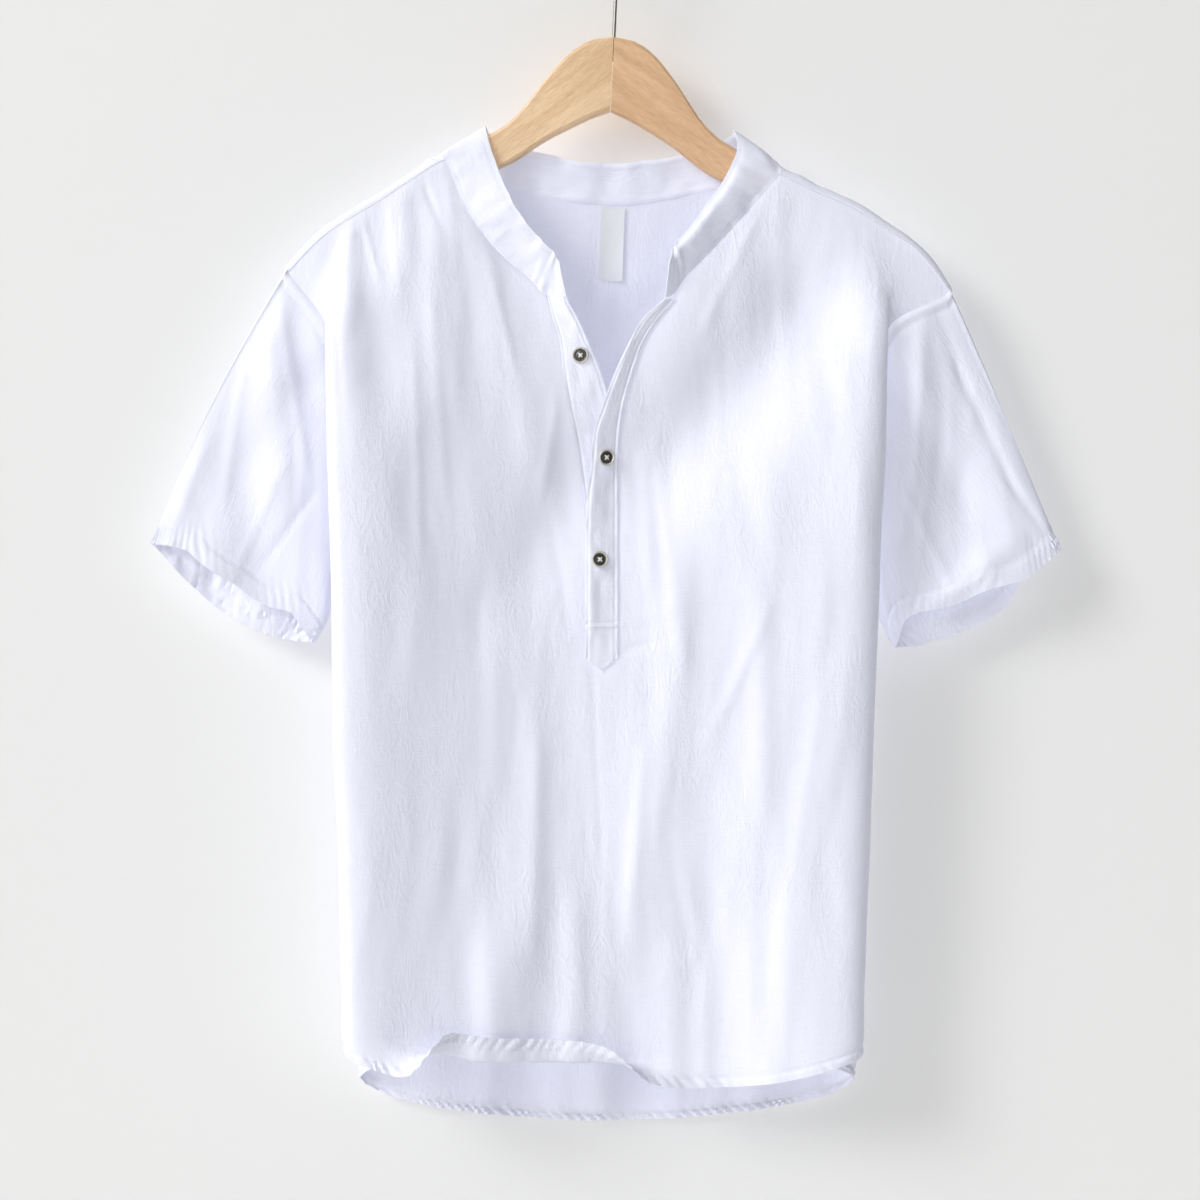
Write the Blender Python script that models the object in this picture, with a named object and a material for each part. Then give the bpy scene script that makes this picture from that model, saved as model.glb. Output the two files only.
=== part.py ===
"""A short-sleeved linen shirt with a stand collar and a half placket, hung on a wooden hanger.

Metres, +Z up, +X to the viewer's right, the front towards -Y. The origin is the point inside the hook's
crook that the hanger hangs from. Left and right are as seen from the front.

The cloth lies over one rounded ridge, the hanger's arms, and falls from it as a front and a back face. Each
panel is a grid of points on those faces, given a wall's thickness. The tables give the cut edges, the side
folds and the largest folds of the cloth, in metres.
"""
import math

import bmesh
import bpy
import numpy as np
from mathutils import Matrix, Vector

# ---- Cloth: walls, gaps and how far it falls forward and back of the hanger
CLOTH = 0.0015          # thickness of a cloth wall
SEAM_GAP = 0.0003       # space left between two pieces at a seam
RIDGE_HALF = 0.0081     # half the width of the cloth's ridge over the hanger
RIDGE_RISE = 0.0080     # from the forward shoulder seam up to the ridge's crest
FRONT_FALL = 0.024      # how much further forward the front hangs than the ridge
FRONT_FALL_DROP = 0.20  # the height over which it gets there
BACK_FALL = 0.019
BACK_FALL_DROP = 0.18
ROLL = 0.009            # the rounded side fold's reach from the flat face
FOLD_FADE = 0.05        # how gently a fold ends

# ---- Main sizes
BODY_MIDDLE = -0.012    # the body's centre line is a little left of the hook
PLACKET_MIDDLE = -0.014
FRONT_HEM = -0.892      # lowest point of the front hem's cut
BACK_HEM = -0.922
FLIP_LENGTH = 0.028     # the front hem is turned outwards and up below this line
FLIP_BEND = 0.009       # length of cloth in the bend of that turn
FLIP_ANGLE = math.radians(172)
FLIP_RISES = (-0.163, -0.129)   # x where the turn begins and where it is whole
FLIP_FALLS = (-0.030, 0.025)    # x where it starts to fall back and where it has gone

# ---- The cloth's crest over the hanger and, past its ends, over the sleeve heads: x, height
CREST = (
    (-0.256, -0.2640), (-0.240, -0.2465), (-0.224, -0.2315), (-0.200, -0.2160), (-0.180, -0.2040),
    (-0.161, -0.1915), (-0.137, -0.1765), (-0.110, -0.1670), (-0.060, -0.1600), (-0.010, -0.1580),
    (0.050, -0.1620), (0.095, -0.1740), (0.1215, -0.1855), (0.150, -0.1990), (0.177, -0.2110),
    (0.206, -0.2290), (0.223, -0.2400), (0.238, -0.2560), (0.255, -0.2800),
)

# ---- The front's cut edges below the collar, at the V opening and the placket: height, left x, right x
OPENING = (
    (-0.2860, -0.0560, 0.0412),
    (-0.3010, -0.0520, 0.0300), (-0.3210, -0.0460, 0.0160), (-0.3470, -0.0430, 0.0065),
    (-0.3710, -0.0390, -0.0005), (-0.4000, -0.0330, -0.0035), (-0.4430, -0.0270, -0.0040),
    (-0.4700, -0.0240, -0.0040), (-0.5560, -0.0240, -0.0040),
)

# ---- The front's rows on each side, from the shoulder seam down. spans is the number of rows to the next
# line. The inner edge is at the opening, the fold is where the face turns back, the outer edge is the
# armhole and, from the armpit down, the side seam, where the two panels' edges meet.
# spans, inner height, fold x, fold height, outer x, outer depth, outer height
LEFT_ROWS = (
    (4, -0.1823, -0.2240, -0.2395, -0.2525, -0.0075, -0.2690),   # forward shoulder seam
    (4, -0.2400, -0.2225, -0.3000, -0.2235, -0.0115, -0.3080),   # the armhole seam goes behind the fold
    (4, -0.2860, -0.2222, -0.3350, -0.2145, -0.0065, -0.3400),   # foot of the collar
    (4, -0.3600, -0.2210, -0.3950, -0.2130, -0.0050, -0.4000),
    (5, -0.4300, -0.2190, -0.4520, -0.2110, -0.0035, -0.4580),  # armpit
    (1, -0.5560, -0.2165, -0.5650, -0.1920, 0.0000, -0.5680),  # foot of the opening
    (3, -0.5670, -0.2163, -0.5850, -0.1915, 0.0000, -0.5880),
    (5, -0.7000, -0.2135, -0.7050, -0.1870, 0.0000, -0.7060),
    (0, -0.8600, -0.2090, -0.8600, -0.1900, 0.0000, -0.8560),  # the hem's turn
)
RIGHT_ROWS = (
    (4, -0.1935, 0.2060, -0.2380, 0.2515, -0.0075, -0.2850),
    (4, -0.2400, 0.2045, -0.3000, 0.2065, -0.0115, -0.3095),
    (4, -0.2860, 0.2035, -0.3350, 0.1960, -0.0065, -0.3400),
    (4, -0.3600, 0.2015, -0.3950, 0.1940, -0.0050, -0.4000),
    (5, -0.4300, 0.1990, -0.4520, 0.1915, -0.0035, -0.4580),
    (1, -0.5560, 0.1940, -0.5650, 0.1700, 0.0000, -0.5680),
    (3, -0.5670, 0.1937, -0.5850, 0.1690, 0.0000, -0.5880),
    (5, -0.7000, 0.1900, -0.7050, 0.1640, 0.0000, -0.7060),
    (0, -0.8600, 0.1850, -0.8600, 0.1650, 0.0000, -0.8560),
)
COLLAR_LINE = 2         # the row of those tables that is the foot of the collar
ARMPIT_LINE = 4         # the one that is the armpit
FOOT_LINE = 5           # and the one that is the foot of the opening
FLIP_STEPS = (0.003, 0.006, 0.009, 0.0185, 0.028)  # rows below the hem's turn, as lengths of cloth
FLAT_COLUMNS = 12       # columns of one half of the front, from the opening to the fold
EDGE_COLUMN = 0.005     # width of the column beside the opening, which the placket's upper strip covers
WRAP_COLUMNS = 4        # columns from the fold to the outer edge
SHOULDER_COLUMNS = 5    # columns of the back, along each shoulder seam
RIDGE_ROWS = 4          # rows of the back that go over the ridge
RIDGE_BELOW = 0.006     # and how far under the ridge the last of them is
NECK_SPREAD = 0.024     # the back's columns beside the neck spread this far from it over the ridge

# ---- The largest folds of the front and the back: x and height of each end, half width, height of the fold
FRONT_FOLDS = (
    (-0.188, -0.228, -0.184, -0.439, 0.018, -0.0050),   # valley beside the left side fold
    (-0.184, -0.439, -0.166, -0.821, 0.024, -0.0070),
    (-0.105, -0.713, -0.105, -0.846, 0.018, 0.0050),
    (-0.079, -0.600, -0.079, -0.745, 0.016, 0.0045),
    (-0.065, -0.577, -0.042, -0.846, 0.014, 0.0035),
    (-0.026, -0.625, -0.004, -0.838, 0.013, -0.0050),   # valley below the placket
    (-0.004, -0.630, 0.011, -0.809, 0.012, 0.0055),     # sharp ridge beside it
    (0.044, -0.650, 0.044, -0.751, 0.015, -0.0045),
    (0.048, -0.564, 0.056, -0.664, 0.012, 0.0030),
    (0.071, -0.679, 0.061, -0.838, 0.012, 0.0045),
    (0.102, -0.549, 0.080, -0.621, 0.013, 0.0045),
    (0.169, -0.549, 0.112, -0.838, 0.017, 0.0065),      # long slanting ridge
    (0.182, -0.549, 0.180, -0.723, 0.013, -0.0030),
    (0.132, -0.268, 0.004, -0.404, 0.026, -0.0070),     # hollow across the right chest
    (-0.030, -0.419, -0.086, -0.511, 0.020, -0.0050),   # hollow left of the placket
    (0.155, -0.265, 0.155, -0.438, 0.020, 0.0035),
    (-0.108, -0.242, -0.067, -0.395, 0.014, 0.0035),
)
BACK_FOLDS = (
    (-0.130, -0.300, -0.150, -0.840, 0.024, -0.0060),
    (-0.080, -0.420, -0.070, -0.880, 0.020, 0.0060),
    (-0.025, -0.500, -0.015, -0.860, 0.018, -0.0050),
    (0.035, -0.450, 0.020, -0.880, 0.020, 0.0065),
    (0.090, -0.350, 0.110, -0.860, 0.022, -0.0060),
    (0.150, -0.420, 0.140, -0.800, 0.018, 0.0050),
    (-0.110, -0.260, -0.030, -0.310, 0.020, 0.0020),
    (0.090, -0.260, 0.020, -0.300, 0.020, 0.0020),
)

# ---- The collar, from its left end round the neck to its right end. turn is how far round the ridge the
# seam is there: 0 on the front face, 1 on the crest, 2 on the back face. lift is how far the band's free
# edge stands off the face that the seam lies on.
# Where the placket stands off the front, so does the seam, by seam lift.
# turn, seam x, seam height, seam lift, free edge x, free edge height, lift
COLLAR = (
    (0, -0.0400, -0.2885, 0.0080, -0.0455, -0.2650, 0.007),
    (0, -0.0560, -0.2860, 0.0000, -0.0475, -0.2585, 0.012),
    (0, -0.0670, -0.2750, 0.0000, -0.0520, -0.2525, 0.014),
    (0, -0.0950, -0.2500, 0.0000, -0.0720, -0.2310, 0.013),
    (0, -0.1170, -0.2190, 0.0000, -0.0870, -0.2060, 0.008),
    (0, -0.1320, -0.1823, 0.0000, -0.1000, -0.1700, 0.001),
    (1, -0.1370, -0.1765, 0.0000, -0.1040, -0.1540, 0.000),
    (2, -0.1280, -0.1900, 0.0000, -0.1000, -0.1620, 0.000),
    (2, -0.0750, -0.2050, 0.0000, -0.0650, -0.1740, -0.001),
    (2, 0.0000, -0.2140, 0.0000, -0.0020, -0.1845, -0.001),
    (2, 0.0700, -0.2030, 0.0000, 0.0620, -0.1720, -0.001),
    (2, 0.1130, -0.1960, 0.0000, 0.0880, -0.1610, 0.000),
    (1, 0.1240, -0.1868, 0.0000, 0.0885, -0.1560, 0.000),
    (0, 0.1215, -0.1935, 0.0000, 0.0910, -0.1720, 0.001),
    (0, 0.1035, -0.2155, 0.0000, 0.0770, -0.2020, 0.009),
    (0, 0.0760, -0.2465, 0.0000, 0.0510, -0.2380, 0.016),
    (0, 0.0490, -0.2750, 0.0000, 0.0410, -0.2500, 0.016),
    (0, 0.0412, -0.2865, 0.0020, 0.0405, -0.2560, 0.013),
    (0, 0.0350, -0.2895, 0.0125, 0.0380, -0.2640, 0.005),
)
LEFT_FOOT, LEFT_NECK_POINT = 1, 5       # the collar's rows at the foot of the front's neckline and at the
RIGHT_NECK_POINT, RIGHT_FOOT = 13, 17   # forward shoulder seam, on each side
COLLAR_FINE = 2                         # columns between two of those rows

# ---- The placket's two strips: height, then the left and right edge of each, and how far the free edge
# of each stands off the front
UNDER_STRIP = (
    (-0.2892, -0.0547, -0.0390, 0.008), (-0.3010, -0.0517, -0.0330, 0.007), (-0.3210, -0.0457, -0.0240, 0.005),
    (-0.3470, -0.0427, -0.0135, 0.003), (-0.3710, -0.0387, -0.0075, 0.001), (-0.4000, -0.0327, -0.0050, 0.000),
    (-0.4430, -0.0267, -0.0043, 0.000), (-0.4700, -0.0237, -0.0043, 0.000), (-0.5555, -0.0237, -0.0043, 0.000),
)
OVER_STRIP = (
    (-0.2905, 0.0340, 0.0425, 0.012), (-0.3050, 0.0180, 0.0300, 0.014), (-0.3240, 0.0070, 0.0180, 0.015),
    (-0.3500, -0.0050, 0.0090, 0.014), (-0.3720, -0.0130, 0.0030, 0.011), (-0.3930, -0.0200, 0.0000, 0.007),
    (-0.4180, -0.0220, -0.0010, 0.004), (-0.4420, -0.0250, -0.0010, 0.002), (-0.4840, -0.0260, -0.0010, 0.000),
    (-0.5620, -0.0260, -0.0010, 0.000),
)
STRIP_COLUMNS = 3
POINT_DROP = 0.010      # the upper strip ends in a point this far below its sides

# ---- Sleeves: cuff's outer and inner end in x and height, outward bow of the sleeve's outer line
LEFT_SLEEVE = (-0.3580, -0.4760, -0.2350, -0.5510, 0.007)
RIGHT_SLEEVE = (0.3380, -0.4800, 0.2140, -0.5550, 0.001)
CUFF_DEPTH = 0.017      # half the depth of the open cuff
CUFF_TILT = 0.013       # the cuff's front edge is this much higher than its middle, the back edge lower
CUFF_SAG = 0.005        # and the middle of the ring is this much below the line between its ends
SLEEVE_FULL = 0.004     # how much rounder the sleeve is halfway down
SLEEVE_RINGS = 8
SLEEVE_FOLDS = (
    (-0.262, -0.285, -0.243, -0.420, 0.011, 0.0030),
    (-0.240, -0.445, -0.268, -0.485, 0.010, -0.0030),
    (-0.300, -0.360, -0.318, -0.450, 0.012, -0.0025),
    (0.246, -0.300, 0.310, -0.455, 0.010, -0.0030),
    (0.270, -0.500, 0.222, -0.540, 0.010, 0.0030),
    (0.232, -0.340, 0.238, -0.440, 0.012, 0.0030),
)

# ---- Buttons: x, height, and whether it is on the upper strip
BUTTONS = (("top", -0.0290, -0.3330, False), ("middle", -0.0100, -0.4100, True), ("bottom", -0.0150, -0.4880, True))
BUTTON_RADIUS = 0.0062
BUTTON_THICKNESS = 0.0026
BUTTON_RIM = 0.0014     # width of the raised rim
BUTTON_DISH = 0.0009    # depth of the dish inside it
BUTTON_HOLE = 0.0008    # radius of a hole
BUTTON_HOLE_PITCH = 0.0014  # from the button's middle to a hole's, along x and along y
BUTTON_STANDOFF = 0.0003    # from the strip's highest place under the button to its back
BUTTON_SIDES = 24

# ---- Label in the back of the neck
LABEL_MIDDLE = -0.0045
LABEL_TOP = -0.2165
LABEL_WIDTH = 0.018
LABEL_LENGTH = 0.055
LABEL_THICKNESS = 0.001
LABEL_LEAN = math.radians(-2)

# ---- Hanger. An arm's rows: distance from the middle, drop of its top edge, drop of its lower edge, half
# thickness. Drops are from the top of the wood.
HANGER_TILT = math.radians(2.6)   # it hangs turned clockwise
WOOD_TOP = -0.088
ARM = (
    (0.0002, 0.0000, 0.0567, 0.0070), (0.0153, 0.0025, 0.0630, 0.0070), (0.0306, 0.0115, 0.0712, 0.0069),
    (0.0420, 0.0235, 0.0775, 0.0066), (0.0520, 0.0360, 0.0840, 0.0063), (0.0628, 0.0515, 0.0920, 0.0060),
    (0.0728, 0.0640, 0.0990, 0.0057), (0.0843, 0.0740, 0.1050, 0.0054), (0.0958, 0.0805, 0.1100, 0.0053),
    (0.1300, 0.1010, 0.1275, 0.0053), (0.1700, 0.1240, 0.1475, 0.0053), (0.2060, 0.1430, 0.1640, 0.0052),
    (0.2120, 0.1490, 0.1620, 0.0040),
)
ARM_LEAN_FROM = 0.0958   # past here the left arm droops a little more and the right arm a little less
ARM_LEAN = 0.010
ARM_CORNER = 0.0035      # radius of the wood's rounded edges
WIRE_RADIUS = 0.0014
CROOK_RADIUS = 0.0190    # inside radius of the hook's crook
STEM_IN_WOOD = 0.018
WIRE_FIT = 0.0004        # space round the wire in its hole

LINEN = (0.83, 0.84, 0.90)
WOOD = (0.66, 0.45, 0.25)
STEEL = (0.35, 0.34, 0.30)
SHELL_BUTTON = (0.62, 0.58, 0.52)
LABEL_WHITE = (0.85, 0.85, 0.86)


# ---------------------------------------------------------------- curves and faces

def smooth(t):
    """0 to 1 with level ends."""
    t = np.clip(t, 0.0, 1.0)
    return t * t * (3.0 - 2.0 * t)


def curve_through(knots, values, at):
    """A smooth curve through a table's column that never overshoots its rows."""
    knots, values, at = (np.asarray(a, float) for a in (knots, values, at))
    step = np.diff(knots)
    slope = np.diff(values) / step
    tangent = np.empty_like(values)
    tangent[0], tangent[-1] = slope[0], slope[-1]
    product, total = slope[1:] * slope[:-1], slope[1:] + slope[:-1]
    rising = product > 0
    tangent[1:-1] = np.where(rising, 2.0 * product / np.where(rising, total, 1.0), 0.0)
    i = np.clip(np.searchsorted(knots, at, side="right") - 1, 0, len(step) - 1)
    t = np.clip((at - knots[i]) / step[i], 0.0, 1.0)
    rest = 1.0 - t
    return (
        values[i] * (1.0 + 2.0 * t) * rest**2
        + values[i + 1] * (3.0 - 2.0 * t) * t**2
        + step[i] * (tangent[i] * t * rest**2 - tangent[i + 1] * rest * t**2)
    )


def column(table, number):
    return [row[number] for row in table]


def crest(x):
    return curve_through(column(CREST, 0), column(CREST, 1), x)


def folds(table, x, z):
    """How far the table's folds stand out of a face at x and height z."""
    total = np.zeros(np.broadcast(x, z).shape)
    for x0, z0, x1, z1, half_width, height in table:
        length = math.hypot(x1 - x0, z1 - z0)
        along = ((x - x0) * (x1 - x0) + (z - z0) * (z1 - z0)) / length
        beside = ((x - x0) * (z1 - z0) - (z - z0) * (x1 - x0)) / length
        past = np.maximum(0.0, np.abs(along - length / 2.0) - length / 2.0)
        total = total + height * np.exp(-((beside / half_width) ** 2) - (past / FOLD_FADE) ** 2)
    return total


def front_depth(x, z):
    """y of the front's outer face."""
    drop = crest(x) - RIDGE_RISE - z
    fullness = FRONT_FALL * smooth(drop / FRONT_FALL_DROP)
    return -RIDGE_HALF - fullness - folds(FRONT_FOLDS, x, z) * smooth(drop / 0.09)


def back_depth(x, z):
    """y of the back's outer face."""
    drop = crest(x) - RIDGE_RISE - z
    fullness = BACK_FALL * smooth(drop / BACK_FALL_DROP)
    return RIDGE_HALF + fullness + folds(BACK_FOLDS, x, z) * smooth(drop / 0.09)


def front_hem_rise(x):
    """The front's hem curves up towards the side seams."""
    return 0.024 * (np.maximum(0.0, np.abs(x - BODY_MIDDLE) - 0.07) / 0.125) ** 2


def back_hem_rise(x):
    """So does the back's, and it turns up quickly at the end."""
    away = np.abs(x - BODY_MIDDLE)
    return 0.022 * (away / 0.19) ** 2 + 0.015 * (np.maximum(0.0, away - 0.18) / 0.02) ** 2


# ---------------------------------------------------------------- panels

def row_table(rows):
    """The number of the grid row that each line of a rows table is."""
    return np.cumsum([0] + [row[0] for row in rows[:-1]])


def row_values(rows, number, at):
    return curve_through(row_table(rows), column(rows, number), at)


def wrap(start, fold_x, end, share, rounded):
    """Points from a face's edge round the side fold to the outer edge, share going from 0 to 1.

    rounded is 0 at the shoulder, where the cloth goes straight on to the sleeve, and 1 at a full fold.
    """
    first = np.sin(np.pi * np.minimum(share, 0.5))
    last = 1.0 - np.cos(np.pi * np.maximum(share - 0.5, 0.0))
    x = start[0] + (fold_x - start[0]) * first + (end[0] - fold_x) * last
    y = start[1] + (end[1] - start[1]) * (1.0 - np.cos(np.pi * share / 2.0))
    x = (1.0 - rounded) * (start[0] + (end[0] - start[0]) * share) + rounded * x
    y = (1.0 - rounded) * (start[1] + (end[1] - start[1]) * share) + rounded * y
    return np.stack((x, y, start[2] + (end[2] - start[2]) * share), axis=-1)


def opening_edge(rows, side, r):
    """x and height of the front's inner edge at a row: along the collar, the opening or the middle."""
    lines = row_table(rows)
    if r <= lines[COLLAR_LINE]:
        neck, foot = (LEFT_NECK_POINT, LEFT_FOOT) if side < 0 else (RIGHT_NECK_POINT, RIGHT_FOOT)
        at = neck + (foot - neck) * r / lines[COLLAR_LINE]
        knots = np.arange(len(COLLAR))
        return tuple(float(curve_through(knots, column(COLLAR, number), at)) for number in (1, 2))
    z = float(row_values(rows, 1, r))
    if r > lines[FOOT_LINE]:
        return PLACKET_MIDDLE, z
    edge = column(OPENING, 1 if side < 0 else 2)
    return float(curve_through([-row[0] for row in OPENING], edge, -z)), z


def shoulder_seam(x):
    """Height of the forward shoulder seam, on the straight lines between the back's columns."""
    top = back_top()
    along_seam = top[2] <= 0.0
    return np.interp(x, top[0][along_seam], top[3][along_seam])


def outer_edge(rows, r):
    """x, y and height of the front's armhole or side seam at a row; the back's has the other y."""
    x, y, z = (float(row_values(rows, number, r)) for number in (4, 5, 6))
    meet = r >= row_table(rows)[ARMPIT_LINE]
    return x, -SEAM_GAP / 2.0 if meet else y, z


def front_half(rows, side):
    """Grid of one half of the front, from the opening outwards; side is -1 for the left one."""
    lines = row_table(rows)
    count = int(lines[-1])
    grid = np.zeros((count + 1 + len(FLIP_STEPS), FLAT_COLUMNS + WRAP_COLUMNS + 1, 3))
    share = np.linspace(0.0, 1.0, WRAP_COLUMNS + 1)
    for r in range(count + 1):
        fold_x, fold_z = (float(row_values(rows, number, r)) for number in (2, 3))
        outer_x, outer_y, outer_z = outer_edge(rows, r)
        inner_x, inner_z = opening_edge(rows, side, r)
        face_x = fold_x - side * ROLL
        beside = EDGE_COLUMN / abs(face_x - inner_x)
        flat = np.concatenate(([0.0], np.linspace(beside, 1.0, FLAT_COLUMNS)))
        x = inner_x + (face_x - inner_x) * flat
        z = inner_z + (fold_z - inner_z) * flat
        if r == 0:
            z = shoulder_seam(x)
        low = smooth((r - lines[FOOT_LINE]) / (count - lines[FOOT_LINE]))
        z = z + low * (FRONT_HEM + FLIP_LENGTH + front_hem_rise(x) - rows[-1][1])
        start = np.array((x[-1], front_depth(x[-1], z[-1]), z[-1]))
        outer_z += low * float(FRONT_HEM + FLIP_LENGTH + front_hem_rise(fold_x) - rows[-1][1])
        grid[r, : FLAT_COLUMNS + 1] = np.stack((x, front_depth(x, z), z), axis=-1)
        rounded = float(smooth(r / lines[1]))
        grid[r, FLAT_COLUMNS:] = wrap(start, fold_x, (outer_x, outer_y, outer_z), share, rounded)
        if r == 0:
            grid[0, FLAT_COLUMNS:, 2] = shoulder_seam(grid[0, FLAT_COLUMNS:, 0])
    turn = smooth((grid[count, :, 0] - FLIP_RISES[0]) / (FLIP_RISES[1] - FLIP_RISES[0]))
    turn = turn * (1.0 - smooth((grid[count, :, 0] - FLIP_FALLS[0]) / (FLIP_FALLS[1] - FLIP_FALLS[0])))
    angle = np.maximum(FLIP_ANGLE * turn, 0.001)
    for step, length in enumerate(FLIP_STEPS, 1):
        bent = np.minimum(length, FLIP_BEND) / FLIP_BEND * angle
        straight = max(0.0, length - FLIP_BEND)
        out = FLIP_BEND / angle * (1.0 - np.cos(bent)) + straight * np.sin(angle)
        down = FLIP_BEND / angle * np.sin(bent) + straight * np.cos(angle)
        grid[count + step] = grid[count]
        grid[count + step, :, 1] -= out
        grid[count + step, :, 2] -= down
    return grid


def collar_stations(first, last):
    """The collar's columns between two of its rows, one array for each of its table's columns."""
    at = np.linspace(first, last, COLLAR_FINE * (last - first) + 1)
    return [curve_through(np.arange(len(COLLAR)), column(COLLAR, number), at) for number in range(7)]


def on_ridge(x, around):
    """A point on the rounded ridge: around is 0 at the forward shoulder seam, pi at the back's."""
    return np.array((x, -RIDGE_HALF * math.cos(around), float(crest(x)) - RIDGE_RISE * (1.0 - math.sin(around))))


def seam_point(turn, x, z):
    """The collar seam's point on the front face, on the ridge or on the back face."""
    if turn <= 0.0:
        return np.array((x, float(front_depth(x, z)), z))
    if turn >= 2.0:
        return np.array((x, float(back_depth(x, z)), z))
    return on_ridge(x, turn * math.pi / 2.0)


def back_top():
    """Top edge of the back from the left outer edge to the right one: x, x under the ridge, turn, height."""
    turn, neck, height = collar_stations(LEFT_NECK_POINT, RIGHT_NECK_POINT)[:3]
    columns = []
    for rows, side, end in ((LEFT_ROWS, -1, neck[0]), (RIGHT_ROWS, 1, neck[-1])):
        face = rows[0][2] - side * ROLL
        flat = np.linspace(0.0, 1.0, SHOULDER_COLUMNS + 1)[:-1]
        past = np.linspace(1.0, 0.0, WRAP_COLUMNS + 1)[:-1]
        x = np.concatenate((face + (rows[0][4] - face) * past, face + (end - face) * flat))
        spread = np.concatenate((np.zeros(WRAP_COLUMNS), side * NECK_SPREAD * flat))
        columns.append(np.stack((x, x + spread, np.zeros_like(x), crest(x) - RIDGE_RISE))[:, ::-side])
    side = np.where(neck < 0.0, -1.0, 1.0)
    spread = side * NECK_SPREAD * (1.0 - turn / 2.0) ** 2
    return np.concatenate((columns[0], np.stack((neck, neck + spread, turn, height)), columns[1]), axis=1)


def over_and_down(x, foot_x, turn, height, share):
    """A point of the back between its top edge and the place that is RIDGE_BELOW under the ridge."""
    arc = math.pi * RIDGE_RISE
    begin = (turn / 2.0 - 1.0) * arc if turn < 2.0 else float(crest(x)) - RIDGE_RISE - height
    at = begin + (max(begin, 0.0) + RIDGE_BELOW - begin) * share
    x = x + (foot_x - x) * math.sqrt(share)
    if at < 0.0:
        return on_ridge(x, math.pi * (1.0 + at / arc))
    z = float(crest(x)) - RIDGE_RISE - at
    return np.array((x, float(back_depth(x, z)), z))


def back_panel():
    """Grid of the back, from the left outer edge to the right one."""
    top = back_top().T
    lines = row_table(LEFT_ROWS)
    count = int(lines[-1])
    grid = np.zeros((RIDGE_ROWS + count + 1, len(top), 3))
    share = np.linspace(0.0, 1.0, WRAP_COLUMNS + 1)
    even = np.linspace(0.0, 1.0, len(top) - 2 * WRAP_COLUMNS)
    for k in range(RIDGE_ROWS + 1):
        grid[k] = [over_and_down(*column_top, k / RIDGE_ROWS) for column_top in top]
    neck = grid[RIDGE_ROWS, WRAP_COLUMNS:-WRAP_COLUMNS]
    top_level = LEFT_ROWS[0][3] + (RIGHT_ROWS[0][3] - LEFT_ROWS[0][3]) * even
    for r in range(1, count + 1):
        left, right = (
            (*(float(row_values(rows, number, r)) for number in (2, 3)), *outer_edge(rows, r))
            for rows in (LEFT_ROWS, RIGHT_ROWS)
        )
        level = left[1] + (right[1] - left[1]) * even
        drop = smooth(r / lines[ARMPIT_LINE])
        low = smooth((r - lines[FOOT_LINE]) / (count - lines[FOOT_LINE]))
        x = left[0] + ROLL + (right[0] - left[0] - 2.0 * ROLL) * even
        x = neck[:, 0] + (x - neck[:, 0]) * drop
        z = level + (neck[:, 2] - top_level) * (1.0 - drop)
        z = z + low * (BACK_HEM + back_hem_rise(x) - LEFT_ROWS[-1][1])
        row = np.stack((x, back_depth(x, z), z), axis=-1)
        rounded = float(smooth(r / lines[1]))
        wraps = []
        for (fold_x, _, x, y, z), start in ((left, row[0]), (right, row[-1])):
            z = z + low * float(BACK_HEM + back_hem_rise(fold_x) - LEFT_ROWS[-1][1])
            wraps.append(wrap(start, fold_x, (x, -y, z), share, rounded))
        grid[RIDGE_ROWS + r] = np.concatenate((wraps[0][:0:-1], row, wraps[1][1:]))
    return grid


def sleeve(armhole, sizes):
    """Rings from the armhole's loop, which starts at the shoulder and goes down the front, to the cuff."""
    outer_x, outer_z, inner_x, inner_z, bow = sizes
    count = len(armhole)
    lowest = count // 2
    steps = np.linalg.norm(np.diff(np.concatenate((armhole, armhole[:1])), axis=0), axis=1)
    front = np.concatenate(([0.0], np.cumsum(steps[:lowest]))) / steps[:lowest].sum()
    back = np.cumsum(steps[lowest:])[:-1] / steps[lowest:].sum()
    around = np.pi * np.concatenate((front, 1.0 + back))
    reach, turned = np.cos(around), np.sin(around)
    middle = np.array(((outer_x + inner_x) / 2.0, (outer_z + inner_z) / 2.0))
    half = np.array(((outer_x - inner_x) / 2.0, (outer_z - inner_z) / 2.0))
    cuff = np.stack((
        middle[0] + half[0] * reach,
        -CUFF_DEPTH * turned,
        middle[1] + half[1] * reach + CUFF_TILT * turned - CUFF_SAG * turned**2,
    ), axis=-1)
    rings = np.zeros((SLEEVE_RINGS + 1, count, 3))
    for ring in range(SLEEVE_RINGS + 1):
        share = ring / SLEEVE_RINGS
        points = armhole + (cuff - armhole) * share
        belly = math.sin(math.pi * share)
        points[:, 0] += math.copysign(bow, outer_x) * belly * np.maximum(reach, 0.0)
        points[:, 1] -= SLEEVE_FULL * belly * turned
        lift = folds(SLEEVE_FOLDS, points[:, 0], points[:, 2])
        points[:, 1] -= lift * turned * smooth(share * 4.0)
        rings[ring] = points
    return rings


def strip(table, layer, side, heights):
    """Grid of a placket strip; layer is how far it lies off the front's face, side its free edge's."""
    knots = [-row[0] for row in table]
    grid = np.zeros((len(heights), STRIP_COLUMNS + 1, 3))
    across = np.linspace(0.0, 1.0, STRIP_COLUMNS + 1)
    for i, height in enumerate(heights):
        left, right, lift = (float(curve_through(knots, column(table, n), -height)) for n in (1, 2, 3))
        x = left + (right - left) * across
        to_free_edge = across if side > 0 else 1.0 - across
        y = front_depth(x, height) - layer - lift * to_free_edge**1.5
        grid[i] = np.stack((x, y, np.full_like(x, height)), axis=-1)
    return grid


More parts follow.
